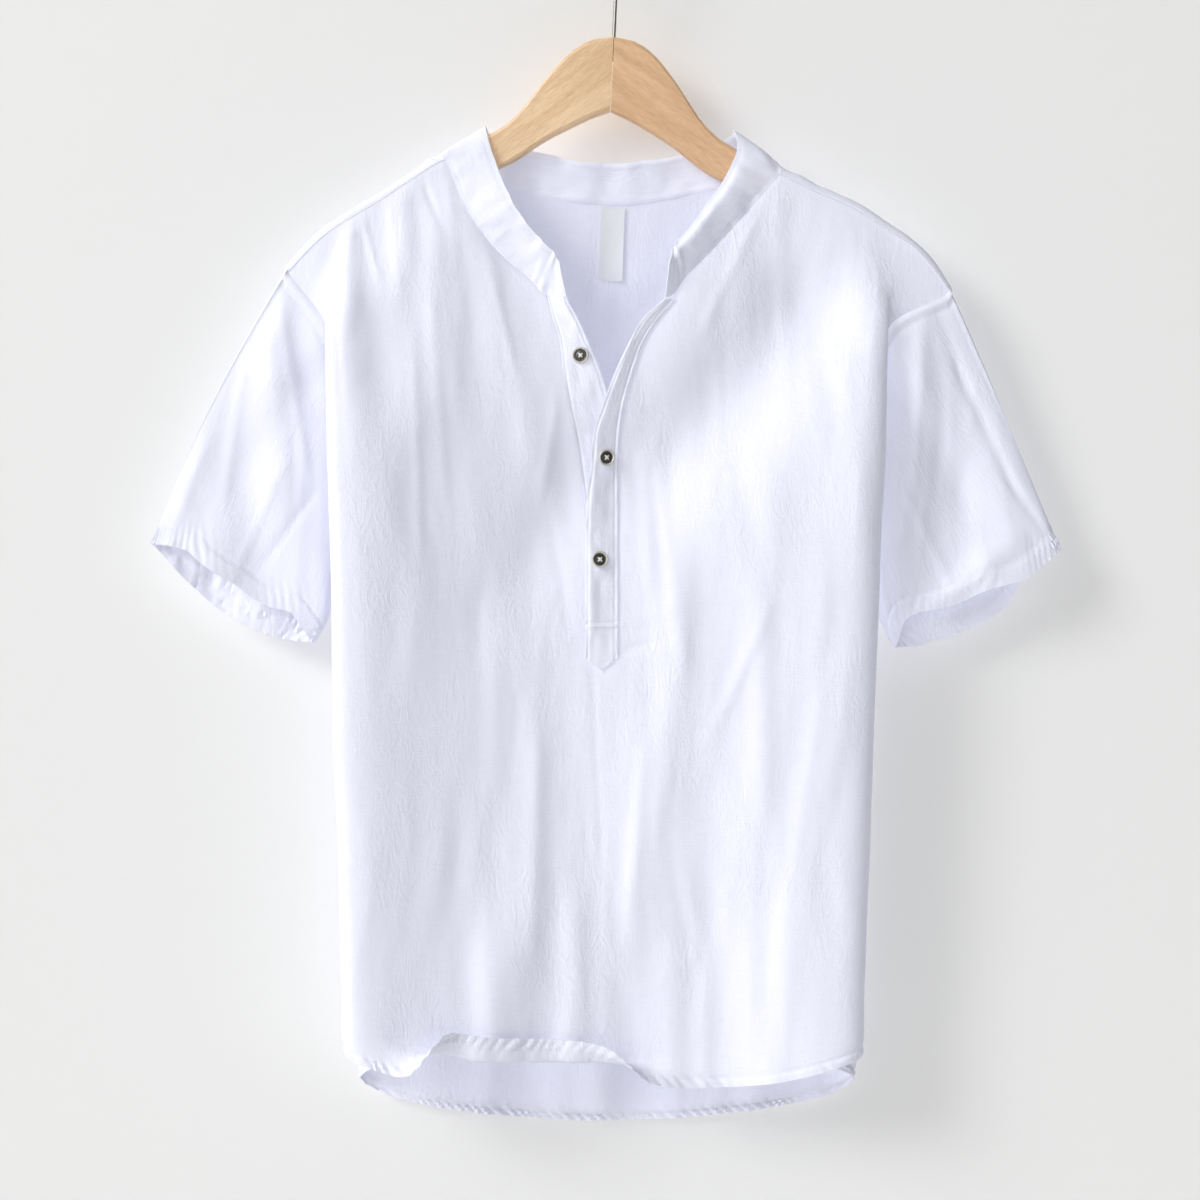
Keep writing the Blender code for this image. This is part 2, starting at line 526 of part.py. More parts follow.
def under_strip():
    """The lower strip lies in the cut, level with the front, on rows of the same heights."""
    lines = row_table(LEFT_ROWS)
    rows = np.arange(lines[COLLAR_LINE] + 1, lines[FOOT_LINE])
    heights = [UNDER_STRIP[0][0], *row_values(LEFT_ROWS, 1, rows), UNDER_STRIP[-1][0]]
    return strip(UNDER_STRIP, 0.0, 1, heights)


def over_strip():
    """The upper strip lies on the front, on rows of the same heights, and ends in a point."""
    lines = row_table(LEFT_ROWS)
    rows = np.arange(lines[COLLAR_LINE] + 1, lines[FOOT_LINE] + 1)
    heights = [OVER_STRIP[0][0], *row_values(LEFT_ROWS, 1, rows)]
    upper = strip(OVER_STRIP, CLOTH + SEAM_GAP, -1, heights)
    x = upper[-1, :, 0]
    corners = np.full_like(x, OVER_STRIP[-1][0])
    point = corners - POINT_DROP * (1.0 - np.abs(np.linspace(-1.0, 1.0, len(x))))
    foot, below = heights[-1], float(row_values(LEFT_ROWS, 1, lines[FOOT_LINE] + 1))
    rows = [upper]
    for z in (corners, point - 0.001):
        share = (z - foot) / (below - foot)
        on_panel = front_depth(x, foot) + (front_depth(x, below) - front_depth(x, foot)) * share
        rows.append(np.stack((x, on_panel - CLOTH - 2.0 * SEAM_GAP, z), axis=-1)[None])
    return np.concatenate(rows)


# ---------------------------------------------------------------- solids

def material(name, colour, roughness, metallic=0.0):
    made = bpy.data.materials.new(name)
    made.use_nodes = True
    shader = made.node_tree.nodes["Principled BSDF"]
    shader.inputs["Base Color"].default_value = (*colour, 1.0)
    shader.inputs["Roughness"].default_value = roughness
    shader.inputs["Metallic"].default_value = metallic
    return made


def add_object(name, mesh, finish, smooth_angle=40.0):
    mesh.materials.append(finish)
    mesh.shade_smooth()
    mesh.set_sharp_from_angle(angle=math.radians(smooth_angle))
    made = bpy.data.objects.new(name, mesh)
    bpy.context.scene.collection.objects.link(made)
    return made


def grid_normals(grid, outward, ring=False):
    """Unit normals of a grid of points. outward is 1 or -1, ring is set where the last column meets the first."""
    down = np.gradient(grid, axis=0)
    if ring:
        across = np.roll(grid, -1, axis=1) - np.roll(grid, 1, axis=1)
    else:
        across = np.gradient(grid, axis=1)
    normals = np.cross(down, across)
    return outward * normals / np.linalg.norm(normals, axis=2, keepdims=True)


def mitred(first, second, onward):
    """The ways through two walls that meet at a seam, given their normals; onward goes into the second.

    Where the seam sticks out, both ends are cut along one common way. In a valley each is cut square.
    """
    common = first + second
    common = common / np.linalg.norm(common, axis=-1, keepdims=True)
    lean = np.sum(common * first, axis=-1, keepdims=True)
    common = common / np.maximum(lean, 0.5)
    valley = np.sum(onward * first, axis=-1, keepdims=True) > 0.0
    return np.where(valley, first, common), np.where(valley, second, common)


def grid_faces(rows, columns, ring=False):
    """Quads of a grid whose points are numbered row by row."""
    faces = []
    for r in range(rows - 1):
        for c in range(columns if ring else columns - 1):
            d = (c + 1) % columns
            faces.append((r * columns + c, r * columns + d, (r + 1) * columns + d, (r + 1) * columns + c))
    return faces


def wall(name, points, through, faces, finish, thickness=CLOTH):
    """Close a sheet of faces into a wall, through being the way out of it at each point."""
    inner = points - thickness * through
    count = len(points)
    directed = {(f[i], f[(i + 1) % len(f)]) for f in faces for i in range(len(f))}
    rims = [(b, a, a + count, b + count) for a, b in directed if (b, a) not in directed]
    other = [tuple(i + count for i in reversed(f)) for f in faces]
    mesh = bpy.data.meshes.new(name)
    mesh.from_pydata([tuple(p) for p in np.concatenate((points, inner))], [], faces + other + sorted(rims))
    shape = bmesh.new()
    shape.from_mesh(mesh)
    loose = [v for v in shape.verts if not v.link_faces]
    bmesh.ops.delete(shape, geom=loose, context="VERTS")
    bmesh.ops.triangulate(shape, faces=shape.faces)
    bmesh.ops.recalc_face_normals(shape, faces=shape.faces)
    shape.to_mesh(mesh)
    shape.free()
    mesh.validate()
    return add_object(name, mesh, finish)


def grid_wall(name, grid, through, finish, ring=False, thickness=CLOTH):
    rows, columns = grid.shape[:2]
    faces = grid_faces(rows, columns, ring)
    return wall(name, grid.reshape(-1, 3), through.reshape(-1, 3), faces, finish, thickness)


def armhole_loop(front_edge, back_edge):
    """The armhole from the shoulder down the front to the armpit and up the back."""
    return np.concatenate((front_edge, back_edge[-2:0:-1]))


def straight_through(normals, way):
    """The way through a wall whose end is cut along way, per unit of thickness."""
    way = way / np.linalg.norm(way, axis=-1, keepdims=True)
    return way / np.maximum(np.sum(way * normals, axis=-1, keepdims=True), 0.5)


def make_body_and_sleeves(linen):
    left, right, back = front_half(LEFT_ROWS, -1), front_half(RIGHT_ROWS, 1), back_panel()
    lines = row_table(LEFT_ROWS)
    foot = int(lines[FOOT_LINE])
    armpit = int(lines[ARMPIT_LINE])
    back_armpit = armpit + RIDGE_ROWS
    back[0, :, 2] += SEAM_GAP
    columns = left.shape[1]

    front = np.concatenate((left[:, ::-1], right), axis=1)
    normals = np.concatenate((grid_normals(left[:, ::-1], 1), grid_normals(right, 1)), axis=1)
    joined = normals[foot + 1 :, columns - 1] + normals[foot + 1 :, columns]
    joined /= np.linalg.norm(joined, axis=1, keepdims=True)
    normals[foot + 1 :, columns - 1] = normals[foot + 1 :, columns] = joined
    forward = np.array((0.0, -1.0, 0.0))
    for inner in (columns - 1, columns):
        normals[: foot + 1, inner] = straight_through(normals[: foot + 1, inner], forward)
    back_normals = grid_normals(back, -1)
    normals[0] = straight_through(normals[0], forward)
    turn = back_top()[2]
    ridge_way = np.stack((np.zeros_like(turn), -np.cos(turn * np.pi / 2.0), np.sin(turn * np.pi / 2.0)), axis=-1)
    back_normals[0] = straight_through(back_normals[0], ridge_way)

    sheets = {}
    for name, sizes, edge, facing in (("left", LEFT_SLEEVE, 0, 1), ("right", RIGHT_SLEEVE, -1, -1)):
        rings = sleeve(armhole_loop(front[: armpit + 1, edge], back[: back_armpit + 1, edge]), sizes)
        ring_normals = grid_normals(rings, facing, ring=True)
        onward = rings[1] - rings[0]
        onward /= np.linalg.norm(onward, axis=1, keepdims=True)
        rings[0] += 1.5 * SEAM_GAP * onward
        panel = armhole_loop(normals[: armpit + 1, edge], back_normals[: back_armpit + 1, edge])
        panel_ways, ring_normals[0] = mitred(panel, ring_normals[0], onward)
        normals[: armpit + 1, edge] = panel_ways[: armpit + 1]
        back_normals[1:back_armpit, edge] = panel_ways[armpit + 1 :][::-1]
        sheets[name] = (rings, ring_normals)

    rows = front.shape[0]
    width = 2 * columns
    faces = [f for f in grid_faces(rows, width) if f[0] % width != columns - 1]
    same = {r * width + columns: r * width + columns - 1 for r in range(foot + 1, rows)}
    faces = [tuple(same.get(i, i) for i in f) for f in faces]
    wall("front", front.reshape(-1, 3), normals.reshape(-1, 3), faces, linen)
    grid_wall("back", back, back_normals, linen)
    for name, (rings, ring_normals) in sheets.items():
        grid_wall(f"sleeve_{name}", rings, ring_normals, linen, ring=True)


def make_collar(linen):
    turn, seam_x, seam_z, seam_lift, edge_x, edge_z, lift = collar_stations(0, len(COLLAR) - 1)
    seam = np.array([seam_point(*values) for values in zip(turn, seam_x, seam_z)])
    around = np.clip(turn, 0.0, 2.0) * np.pi / 2.0
    seam[:, 1] -= seam_lift
    edge = np.stack((edge_x, seam[:, 1] - lift * np.cos(around), edge_z), axis=-1)
    across = (edge - seam) / np.linalg.norm(edge - seam, axis=1, keepdims=True)
    seam = seam + 0.0006 * across
    grid = np.array([seam + (edge - seam) * share for share in np.linspace(0.0, 1.0, 4)])
    through = grid_normals(grid, 1)
    way = np.stack((np.zeros_like(turn), -np.cos(around), np.sin(around)), axis=-1)
    through[0] = straight_through(through[0], way)
    grid_wall("collar_band", grid, through, linen)


def make_placket(linen):
    for name, grid in (("placket_under", under_strip()), ("placket_over", over_strip())):
        through = np.zeros_like(grid)
        through[:, :, 1] = -1.0
        grid_wall(name, grid, through, linen)


def strip_depth(grid, x, z):
    """y of a strip's outer face at x and height z."""
    heights = grid[:, 0, 2]
    below = int(np.clip(np.searchsorted(-heights, -z), 1, len(heights) - 1))
    share = (z - heights[below - 1]) / (heights[below] - heights[below - 1])
    row = grid[below - 1] + (grid[below] - grid[below - 1]) * share
    return float(np.interp(x, row[:, 0], row[:, 1]))


def make_buttons(finish):
    """Turned discs with a raised rim, a dished middle and four holes, lying on the placket's strips."""
    for name, x, z, upper in BUTTONS:
        grid = over_strip() if upper else under_strip()
        reach = BUTTON_RADIUS * 0.8
        tilt_x = (strip_depth(grid, x + reach, z) - strip_depth(grid, x - reach, z)) / (2.0 * reach)
        tilt_z = (strip_depth(grid, x, z + reach) - strip_depth(grid, x, z - reach)) / (2.0 * reach)
        middle = Vector((x, strip_depth(grid, x, z), z))
        normal = Vector((tilt_x, -1.0, tilt_z)).normalized()
        proud = 0.0
        for step in range(16):
            angle = math.pi * step / 8.0
            for radius in (BUTTON_RADIUS / 2.0, BUTTON_RADIUS):
                at_x, at_z = x + radius * math.cos(angle), z + radius * math.sin(angle)
                under = Vector((at_x, strip_depth(grid, at_x, at_z), at_z))
                proud = max(proud, (under - middle).dot(normal))
        top = BUTTON_THICKNESS
        profile = (
            (0.0, 0.0), (BUTTON_RADIUS - 0.0008, 0.0), (BUTTON_RADIUS, 0.0008), (BUTTON_RADIUS, top - 0.0005),
            (BUTTON_RADIUS - 0.0005, top), (BUTTON_RADIUS - BUTTON_RIM, top - 0.0002),
            (BUTTON_RADIUS - BUTTON_RIM - 0.0006, top - BUTTON_DISH), (0.0, top - BUTTON_DISH * 0.7),
        )
        shape = bmesh.new()
        points = [shape.verts.new((r, 0.0, height)) for r, height in profile]
        edges = [shape.edges.new(pair) for pair in zip(points, points[1:])]
        bmesh.ops.spin(
            shape, geom=points + edges, cent=(0, 0, 0), axis=(0, 0, 1), angle=2.0 * math.pi,
            steps=BUTTON_SIDES, use_duplicate=False,
        )
        bmesh.ops.remove_doubles(shape, verts=shape.verts, dist=1e-6)
        bmesh.ops.recalc_face_normals(shape, faces=shape.faces)
        mesh = bpy.data.meshes.new(f"button_{name}")
        shape.to_mesh(mesh)
        shape.free()
        button = add_object(f"button_{name}", mesh, finish, 35.0)
        button.matrix_world = Matrix.Translation(middle + normal * (proud + BUTTON_STANDOFF)) @ (
            normal.to_track_quat("Z", "Y").to_matrix().to_4x4()
        )
        cutter = button_holes(name)
        cutter.matrix_world = button.matrix_world
        cut = button.modifiers.new("holes", "BOOLEAN")
        cut.object = cutter


def button_holes(name):
    """Four rods that cut the button's holes."""
    shape = bmesh.new()
    for across in (-1, 1):
        for up in (-1, 1):
            place = Matrix.Translation((across * BUTTON_HOLE_PITCH, up * BUTTON_HOLE_PITCH, BUTTON_THICKNESS / 2))
            bmesh.ops.create_cone(
                shape, cap_ends=True, segments=8, radius1=BUTTON_HOLE, radius2=BUTTON_HOLE,
                depth=2.0 * BUTTON_THICKNESS, matrix=place,
            )
    return cutter_object(f"holes_{name}", shape)


def cutter_object(name, shape):
    mesh = bpy.data.meshes.new(name)
    shape.to_mesh(mesh)
    shape.free()
    cutter = bpy.data.objects.new(name, mesh)
    cutter.hide_render = True
    cutter.display_type = "WIRE"
    bpy.context.scene.collection.objects.link(cutter)
    return cutter


def make_label(finish):
    """A woven strip that hangs from the collar seam, just off the back's inner face."""
    rows, columns = 5, 2
    grid = np.zeros((rows + 1, columns + 1, 3))
    for r in range(rows + 1):
        for c in range(columns + 1):
            across = LABEL_WIDTH * (c / columns - 0.5)
            down = LABEL_LENGTH * r / rows
            x = LABEL_MIDDLE + across * math.cos(LABEL_LEAN) + down * math.sin(LABEL_LEAN)
            z = LABEL_TOP + across * math.sin(LABEL_LEAN) - down * math.cos(LABEL_LEAN)
            grid[r, c] = (x, float(back_depth(x, z)) - CLOTH - LABEL_THICKNESS - 0.0008, z)
    through = np.zeros_like(grid)
    through[:, :, 1] = -1.0
    grid_wall("neck_label", grid, through, finish, thickness=LABEL_THICKNESS)


# ---------------------------------------------------------------- hanger

def arm_section(distance, top, bottom, half, side):
    """A rounded rectangle across an arm, as a ring of points."""
    corner = min(ARM_CORNER, half * 0.8, (bottom - top) * 0.45)
    ring = []
    for middle_y, middle_z, begin in (
        (half - corner, -top - corner, 0), (-half + corner, -top - corner, 90),
        (-half + corner, -bottom + corner, 180), (half - corner, -bottom + corner, 270),
    ):
        for step in range(3):
            angle = math.radians(begin + 45 * step)
            y = middle_y + corner * math.cos(angle)
            ring.append((side * distance, y, WOOD_TOP + middle_z + corner * math.sin(angle)))
    return ring


def make_arm(name, side, finish):
    rings = []
    for (d0, top0, bottom0, half0), (d1, top1, bottom1, half1) in zip(ARM, ARM[1:]):
        for share in (0.0, 0.5):
            rings.append([d0 + (d1 - d0) * share, half0 + (half1 - half0) * share])
    rings.append([ARM[-1][0], ARM[-1][3]])
    distances = np.array([ring[0] for ring in rings])
    past = np.maximum(0.0, (distances - ARM_LEAN_FROM) / (ARM[-1][0] - ARM_LEAN_FROM)) ** 1.5
    lean = -side * ARM_LEAN * past
    top = curve_through(column(ARM, 0), column(ARM, 1), distances) + lean
    bottom = curve_through(column(ARM, 0), column(ARM, 2), distances) + lean
    sections = [
        arm_section(distance, high, low, half, side)
        for (distance, half), high, low in zip(rings, top, bottom)
    ]
    shape = bmesh.new()
    loops = [[shape.verts.new(point) for point in section] for section in sections]
    for near, far in zip(loops, loops[1:]):
        for i in range(len(near)):
            j = (i + 1) % len(near)
            shape.faces.new((near[i], near[j], far[j], far[i]))
    shape.faces.new(loops[0])
    shape.faces.new(loops[-1])
    bmesh.ops.triangulate(shape, faces=shape.faces)
    bmesh.ops.recalc_face_normals(shape, faces=shape.faces)
    mesh = bpy.data.meshes.new(name)
    shape.to_mesh(mesh)
    shape.free()
    arm = add_object(name, mesh, finish, 35.0)
    arm.matrix_world = hanger_turn()
    return arm


def hanger_turn():
    return Matrix.Rotation(HANGER_TILT, 4, "Y")


def hook_route():
    """Centre line of the hook: up the stem, a small bend to the right, then round the crook."""
    wire_turn = CROOK_RADIUS + WIRE_RADIUS
    middle = -CROOK_RADIUS
    low = middle - wire_turn
    route = [(0.0, WOOD_TOP - STEM_IN_WOOD), (0.0, WOOD_TOP - 0.004), (0.0, WOOD_TOP + 0.010), (0.0, low - 0.010)]
    begin = math.radians(-58)
    join = (wire_turn * math.cos(begin), middle + wire_turn * math.sin(begin))
    for share in (0.25, 0.5, 0.75):
        across = float(smooth(share))
        route.append((join[0] * across, low - 0.010 + (join[1] - low + 0.010) * share))
    for step in range(27):
        angle = begin + (math.radians(205) - begin) * step / 26
        route.append((wire_turn * math.cos(angle), middle + wire_turn * math.sin(angle)))
    return route


def make_hook(finish):
    wire = bpy.data.curves.new("hanger_hook", "CURVE")
    wire.dimensions = "3D"
    wire.bevel_depth = WIRE_RADIUS
    wire.bevel_resolution = 2
    wire.use_fill_caps = True
    route = hook_route()
    line = wire.splines.new("POLY")
    line.points.add(len(route) - 1)
    for point, (x, z) in zip(line.points, route):
        point.co = (x, 0.0, z, 1.0)
    wire.materials.append(finish)
    hook = bpy.data.objects.new("hanger_hook", wire)
    bpy.context.scene.collection.objects.link(hook)
    hook.matrix_world = hanger_turn()


def make_hanger():
    wood = material("wood", WOOD, 0.45)
    steel = material("steel", STEEL, 0.35, 1.0)
    shape = bmesh.new()
    bore = WIRE_RADIUS + WIRE_FIT
    depth = 2.0 * (STEM_IN_WOOD + 0.001)
    bmesh.ops.create_cone(
        shape, cap_ends=True, segments=16, radius1=bore, radius2=bore, depth=depth,
        matrix=Matrix.Translation((0.0, 0.0, WOOD_TOP)),
    )
    hole = cutter_object("hook_hole", shape)
    hole.matrix_world = hanger_turn()
    for name, side in (("hanger_arm_left", -1), ("hanger_arm_right", 1)):
        arm = make_arm(name, side, wood)
        cut = arm.modifiers.new("hole", "BOOLEAN")
        cut.object = hole
    make_hook(steel)


for old in list(bpy.data.objects):
    bpy.data.objects.remove(old, do_unlink=True)
cloth = material("linen", LINEN, 0.85)
make_body_and_sleeves(cloth)
make_collar(cloth)
make_placket(cloth)
make_buttons(material("button", SHELL_BUTTON, 0.3))
make_label(material("label", LABEL_WHITE, 0.7))
make_hanger()
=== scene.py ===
"""A white linen shirt with a stand collar and a half placket, hung on a wooden hanger in front of a pale wall.

Metres, +Z up, the front towards -Y, the origin where the hanger's hook bears. Left and right are as seen
from the front. Cloth is drawn as grids of points on the faces that it falls in, in the order it is sewn.
"""
import math

import bmesh
import bpy
import numpy as np
from mathutils import Matrix, Vector


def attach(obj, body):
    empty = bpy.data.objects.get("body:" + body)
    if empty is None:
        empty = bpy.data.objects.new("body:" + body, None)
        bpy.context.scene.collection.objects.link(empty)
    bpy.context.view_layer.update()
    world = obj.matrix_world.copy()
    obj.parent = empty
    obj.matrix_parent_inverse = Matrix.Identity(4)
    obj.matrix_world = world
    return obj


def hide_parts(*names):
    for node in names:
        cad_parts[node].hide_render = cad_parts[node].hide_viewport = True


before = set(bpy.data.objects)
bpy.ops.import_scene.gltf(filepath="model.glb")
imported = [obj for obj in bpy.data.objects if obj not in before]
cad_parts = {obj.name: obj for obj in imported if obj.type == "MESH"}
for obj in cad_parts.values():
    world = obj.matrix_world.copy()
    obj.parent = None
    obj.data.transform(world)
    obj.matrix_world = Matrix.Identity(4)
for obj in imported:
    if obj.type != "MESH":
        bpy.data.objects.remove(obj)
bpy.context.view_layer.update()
scene = bpy.context.scene

# ==================================================================== studio
# A plain pale plaster wall with a floor far below and soft window light from the upper left, part of it
# without shadows, as in a bright room. A lamp behind the wall lights the shirt's back, and the camera
# stands straight in front. The wall shows from its front side only.
WALL_DEPTH = 0.0375
FLOOR_HEIGHT = -1.60
PICTURE_WIDTH = 0.9192      # width of the picture where the hook hangs
CAMERA_PLACE = (-0.0146, -2.2, -0.5185)

scene.view_settings.view_transform = "Standard"


def put(name, data):
    """A new object of that mesh, lamp or camera in the scene."""
    made = bpy.data.objects.new(name, data)
    scene.collection.objects.link(made)
    return made


camera = put("camera", bpy.data.cameras.new("camera"))
camera.location = CAMERA_PLACE
camera.rotation_euler = (math.pi / 2.0, 0.0, 0.0)
camera.data.sensor_width = 36.0
camera.data.lens = 36.0 * -CAMERA_PLACE[1] / PICTURE_WIDTH
scene.camera = camera


def set_inputs(node, **values):
    """Set a node's inputs by name, each space in a name written as an underscore."""
    for title, value in values.items():
        node.inputs[title.replace("_", " ")].default_value = value


def tree_tools(tree):
    """Two functions for a tree of nodes: one adds a node and sets its inputs, the other joins nodes."""

    def add(kind, **values):
        node = tree.nodes.new(kind)
        set_inputs(node, **values)
        return node

    def join(*wires):
        for source, output, target, socket in wires:
            tree.links.new(source.outputs[output], target.inputs[socket])

    return add, join


def new_material(name, **values):
    """A new material with the tools for its nodes, its shader with those inputs set, and its output."""
    made = bpy.data.materials.new(name)
    made.use_nodes = True
    shader, output = (made.node_tree.nodes[title] for title in ("Principled BSDF", "Material Output"))
    set_inputs(shader, **values)
    return made, *tree_tools(made.node_tree), shader, output


def plaster(name, colour):
    """Smooth painted plaster, see-through from behind."""
    made, add, join, paint, output = new_material(name, Roughness=0.9, Base_Color=(*colour, 1.0))
    where, side = add("ShaderNodeTexCoord"), add("ShaderNodeNewGeometry")
    grain = add("ShaderNodeTexNoise", Scale=140.0)
    bump = add("ShaderNodeBump", Strength=0.05, Distance=0.001)
    clear, either = add("ShaderNodeBsdfTransparent"), add("ShaderNodeMixShader")
    join(
        (where, "Object", grain, "Vector"), (grain, "Fac", bump, "Height"), (bump, "Normal", paint, "Normal"),
        (side, "Backfacing", either, 0), (paint, 0, either, 1), (clear, 0, either, 2), (either, 0, output, "Surface"),
    )
    return made


def studio_plane(name, corners, finish):
    mesh = bpy.data.meshes.new(name)
    mesh.from_pydata(corners, [], [(0, 1, 2, 3)])
    mesh.materials.append(finish)
    made = put(name, mesh)
    return made


wall_plane = studio_plane("wall", (
    (-5.0, WALL_DEPTH, FLOOR_HEIGHT), (5.0, WALL_DEPTH, FLOOR_HEIGHT),
    (5.0, WALL_DEPTH, 4.0), (-5.0, WALL_DEPTH, 4.0),
), plaster("wall_paint", (0.77, 0.77, 0.76)))
studio_plane("floor", (
    (-5.0, -6.0, FLOOR_HEIGHT), (5.0, -6.0, FLOOR_HEIGHT),
    (5.0, WALL_DEPTH, FLOOR_HEIGHT), (-5.0, WALL_DEPTH, FLOOR_HEIGHT),
), plaster("floor_paint", (0.76, 0.76, 0.76)))
wall_plane.visible_shadow = False


def aimed(name, lamp, direction):
    """The object of a lamp that shines in a direction."""
    made = put(name, lamp)
    made.rotation_euler = Vector(direction).to_track_quat("-Z", "Y").to_euler()
    return made


def soft_lamp(name, place, aim, size, watts):
    lamp = bpy.data.lights.new(name, "AREA")
    lamp.size = size
    lamp.energy = watts
    made = aimed(name, lamp, Vector(aim) - Vector(place))
    made.location = place
    made.visible_camera = False


# name, direction, strength, degrees that it spreads over, whether it throws shadows
for name, direction, strength, spread, shadow in (
    ("window_light", (1.35, 1.0, -0.9), 0.93, 20, True),
    ("window_glow", (1.9, 1.0, -1.0), 1.47, 40, False),
    ("room_bounce", (0.2, 1.0, -0.1), 0.63, 60, False),
):
    sun = bpy.data.lights.new(name, "SUN")
    sun.energy = strength
    sun.angle = math.radians(spread)
    sun.use_shadow = shadow
    aimed(name, sun, direction)
soft_lamp("side_light", (-1.9, -1.6, 0.9), (-0.3, 0.0, -0.20), 1.6, 15.0)
soft_lamp("back_light", (0.8, 2.4, 0.4), (0.0, 0.0, -0.50), 1.6, 40.0)
sky = bpy.data.worlds.new("studio")
sky.use_nodes = True
set_inputs(sky.node_tree.nodes["Background"], Color=(0.97, 0.98, 1.0, 1.0), Strength=0.245)
scene.world = sky


# ==================================================================== front
# The front is one panel of washed linen, cut open down the middle to the placket's foot, with a narrow hem
# along its curved foot. It is sewn to the back at the forward shoulder seams and down the sides.
CLOTH = 0.0007              # thickness of the linen
THREAD_PITCH = 0.0006       # distance between the linen's threads
WAVES_PER_METRE = 0.314     # scale at which a wave texture's bands are one metre apart
SEAM_GAP = 0.0003
RIDGE_HALF = 0.0081         # half the width of the cloth's ridge over the hanger
RIDGE_RISE = 0.0080         # from the forward shoulder seam up to the ridge's crest
FRONT_FALL = 0.024          # how much further forward the front hangs than the ridge
FRONT_FALL_DROP = 0.20      # the height over which it gets there
ROLL = {-1: 0.015, 1: 0.020}   # how far the rounded side folds reach from the flat face, left and right
FOLD_FADE = 0.05            # how gently a fold ends
FOLDS_FULL = 0.09           # how far below the shoulder seam the folds have their whole height
BODY_MIDDLE = -0.012
PLACKET_MIDDLE = -0.014
FRONT_HEM = -0.8885         # lowest point of the front hem's cut
CURL_REACH = 0.040          # the front may curl below the line this far above its cut edge
CURL_BEND = 0.009           # length of cloth in the bend of the curl
HEM_BAND = 0.0065           # width of the turned hem
HEM_EDGE = 0.0070           # the rows of points are closer from here to the cut edge
FRONT_TUCK = (-0.846, 0.032, 0.008)     # where a lower corner turns inwards, over what height and how far
SEAM_CALM = 0.012           # how far from a seam the linen's crinkles have their whole height
SEAM_DITCH = 0.0022         # half the width of the groove along a seam
FINE_ROW = 0.0036           # distance between the cloth's rows of points
FLAT_COLUMNS = 88           # columns of one half of the front, from the opening to the side fold
WRAP_COLUMNS = 12           # columns round the side fold

# The cloth's crest over the hanger and, past its ends, over the sleeve heads: x, height
CREST = (
    (-0.256, -0.2640), (-0.240, -0.2465), (-0.224, -0.2315), (-0.200, -0.2160), (-0.180, -0.2040),
    (-0.161, -0.1915), (-0.137, -0.1765), (-0.110, -0.1670), (-0.060, -0.1600), (-0.010, -0.1580),
    (0.050, -0.1620), (0.095, -0.1740), (0.1215, -0.1855), (0.150, -0.1990), (0.177, -0.2110),
    (0.206, -0.2290), (0.223, -0.2400), (0.238, -0.2560), (0.255, -0.2800),
)
# The front hem has curled outwards and up: x, how far above the cut edge the bend starts, how many degrees
HEM_CURL = (
    (-0.195, 0.030, 0.0), (-0.180, 0.030, 6.0), (-0.167, 0.030, 25.0), (-0.154, 0.0295, 58.0),
    (-0.140, 0.0288, 104.0), (-0.127, 0.0276, 152.0), (-0.112, 0.0256, 172.0), (-0.085, 0.0245, 178.0),
    (-0.036, 0.0232, 176.0), (-0.014, 0.0228, 152.0), (0.001, 0.0230, 114.0), (0.023, 0.023, 48.0),
    (0.048, 0.022, 12.0), (0.080, 0.020, 0.0),
)
# The cut edges of the V opening and the placket: height, left x, right x
OPENING = (
    (-0.2860, -0.0560, 0.0412),
    (-0.3010, -0.0520, 0.0300), (-0.3210, -0.0460, 0.0160), (-0.3470, -0.0430, 0.0065),
    (-0.3710, -0.0390, -0.0005), (-0.4000, -0.0330, -0.0035), (-0.4430, -0.0270, -0.0040),
    (-0.4700, -0.0240, -0.0040), (-0.5560, -0.0240, -0.0040),
)
# Lines across the body, from the shoulder seam to the hem's turn, on each side:
# spans, inner height, fold x, fold height, outer x, outer depth, outer height
LEFT_ROWS = (
    (4, -0.1823, -0.2240, -0.2395, -0.2525, -0.0075, -0.2690),
    (4, -0.2400, -0.2225, -0.3000, -0.2235, -0.0115, -0.3080),
    (4, -0.2860, -0.2222, -0.3350, -0.2145, -0.0065, -0.3400),
    (4, -0.3600, -0.2210, -0.3950, -0.2130, -0.0050, -0.4000),
    (5, -0.4300, -0.2190, -0.4520, -0.2110, -0.0035, -0.4580),
    (1, -0.5560, -0.2165, -0.5650, -0.1920, 0.0000, -0.5680),
    (3, -0.5670, -0.2163, -0.5850, -0.1915, 0.0000, -0.5880),
    (5, -0.7000, -0.2135, -0.7050, -0.1870, 0.0000, -0.7060),
    (0, -0.8600, -0.2090, -0.8600, -0.1900, 0.0000, -0.8480),
)
RIGHT_ROWS = (
    (4, -0.1935, 0.2060, -0.2380, 0.2515, -0.0075, -0.2850),
    (4, -0.2400, 0.2045, -0.3000, 0.2065, -0.0115, -0.3095),
    (4, -0.2860, 0.2035, -0.3350, 0.1960, -0.0065, -0.3400),
    (4, -0.3600, 0.2015, -0.3950, 0.1940, -0.0050, -0.4000),
    (5, -0.4300, 0.1990, -0.4520, 0.1915, -0.0035, -0.4580),
    (1, -0.5560, 0.1940, -0.5650, 0.1700, 0.0000, -0.5680),
    (3, -0.5670, 0.1937, -0.5850, 0.1690, 0.0000, -0.5880),
    (5, -0.7000, 0.1900, -0.7050, 0.1640, 0.0000, -0.7060),
    (0, -0.8600, 0.1850, -0.8600, 0.1650, 0.0000, -0.8480),
)
COLLAR_LINE, ARMPIT_LINE, FOOT_LINE = 2, 4, 5
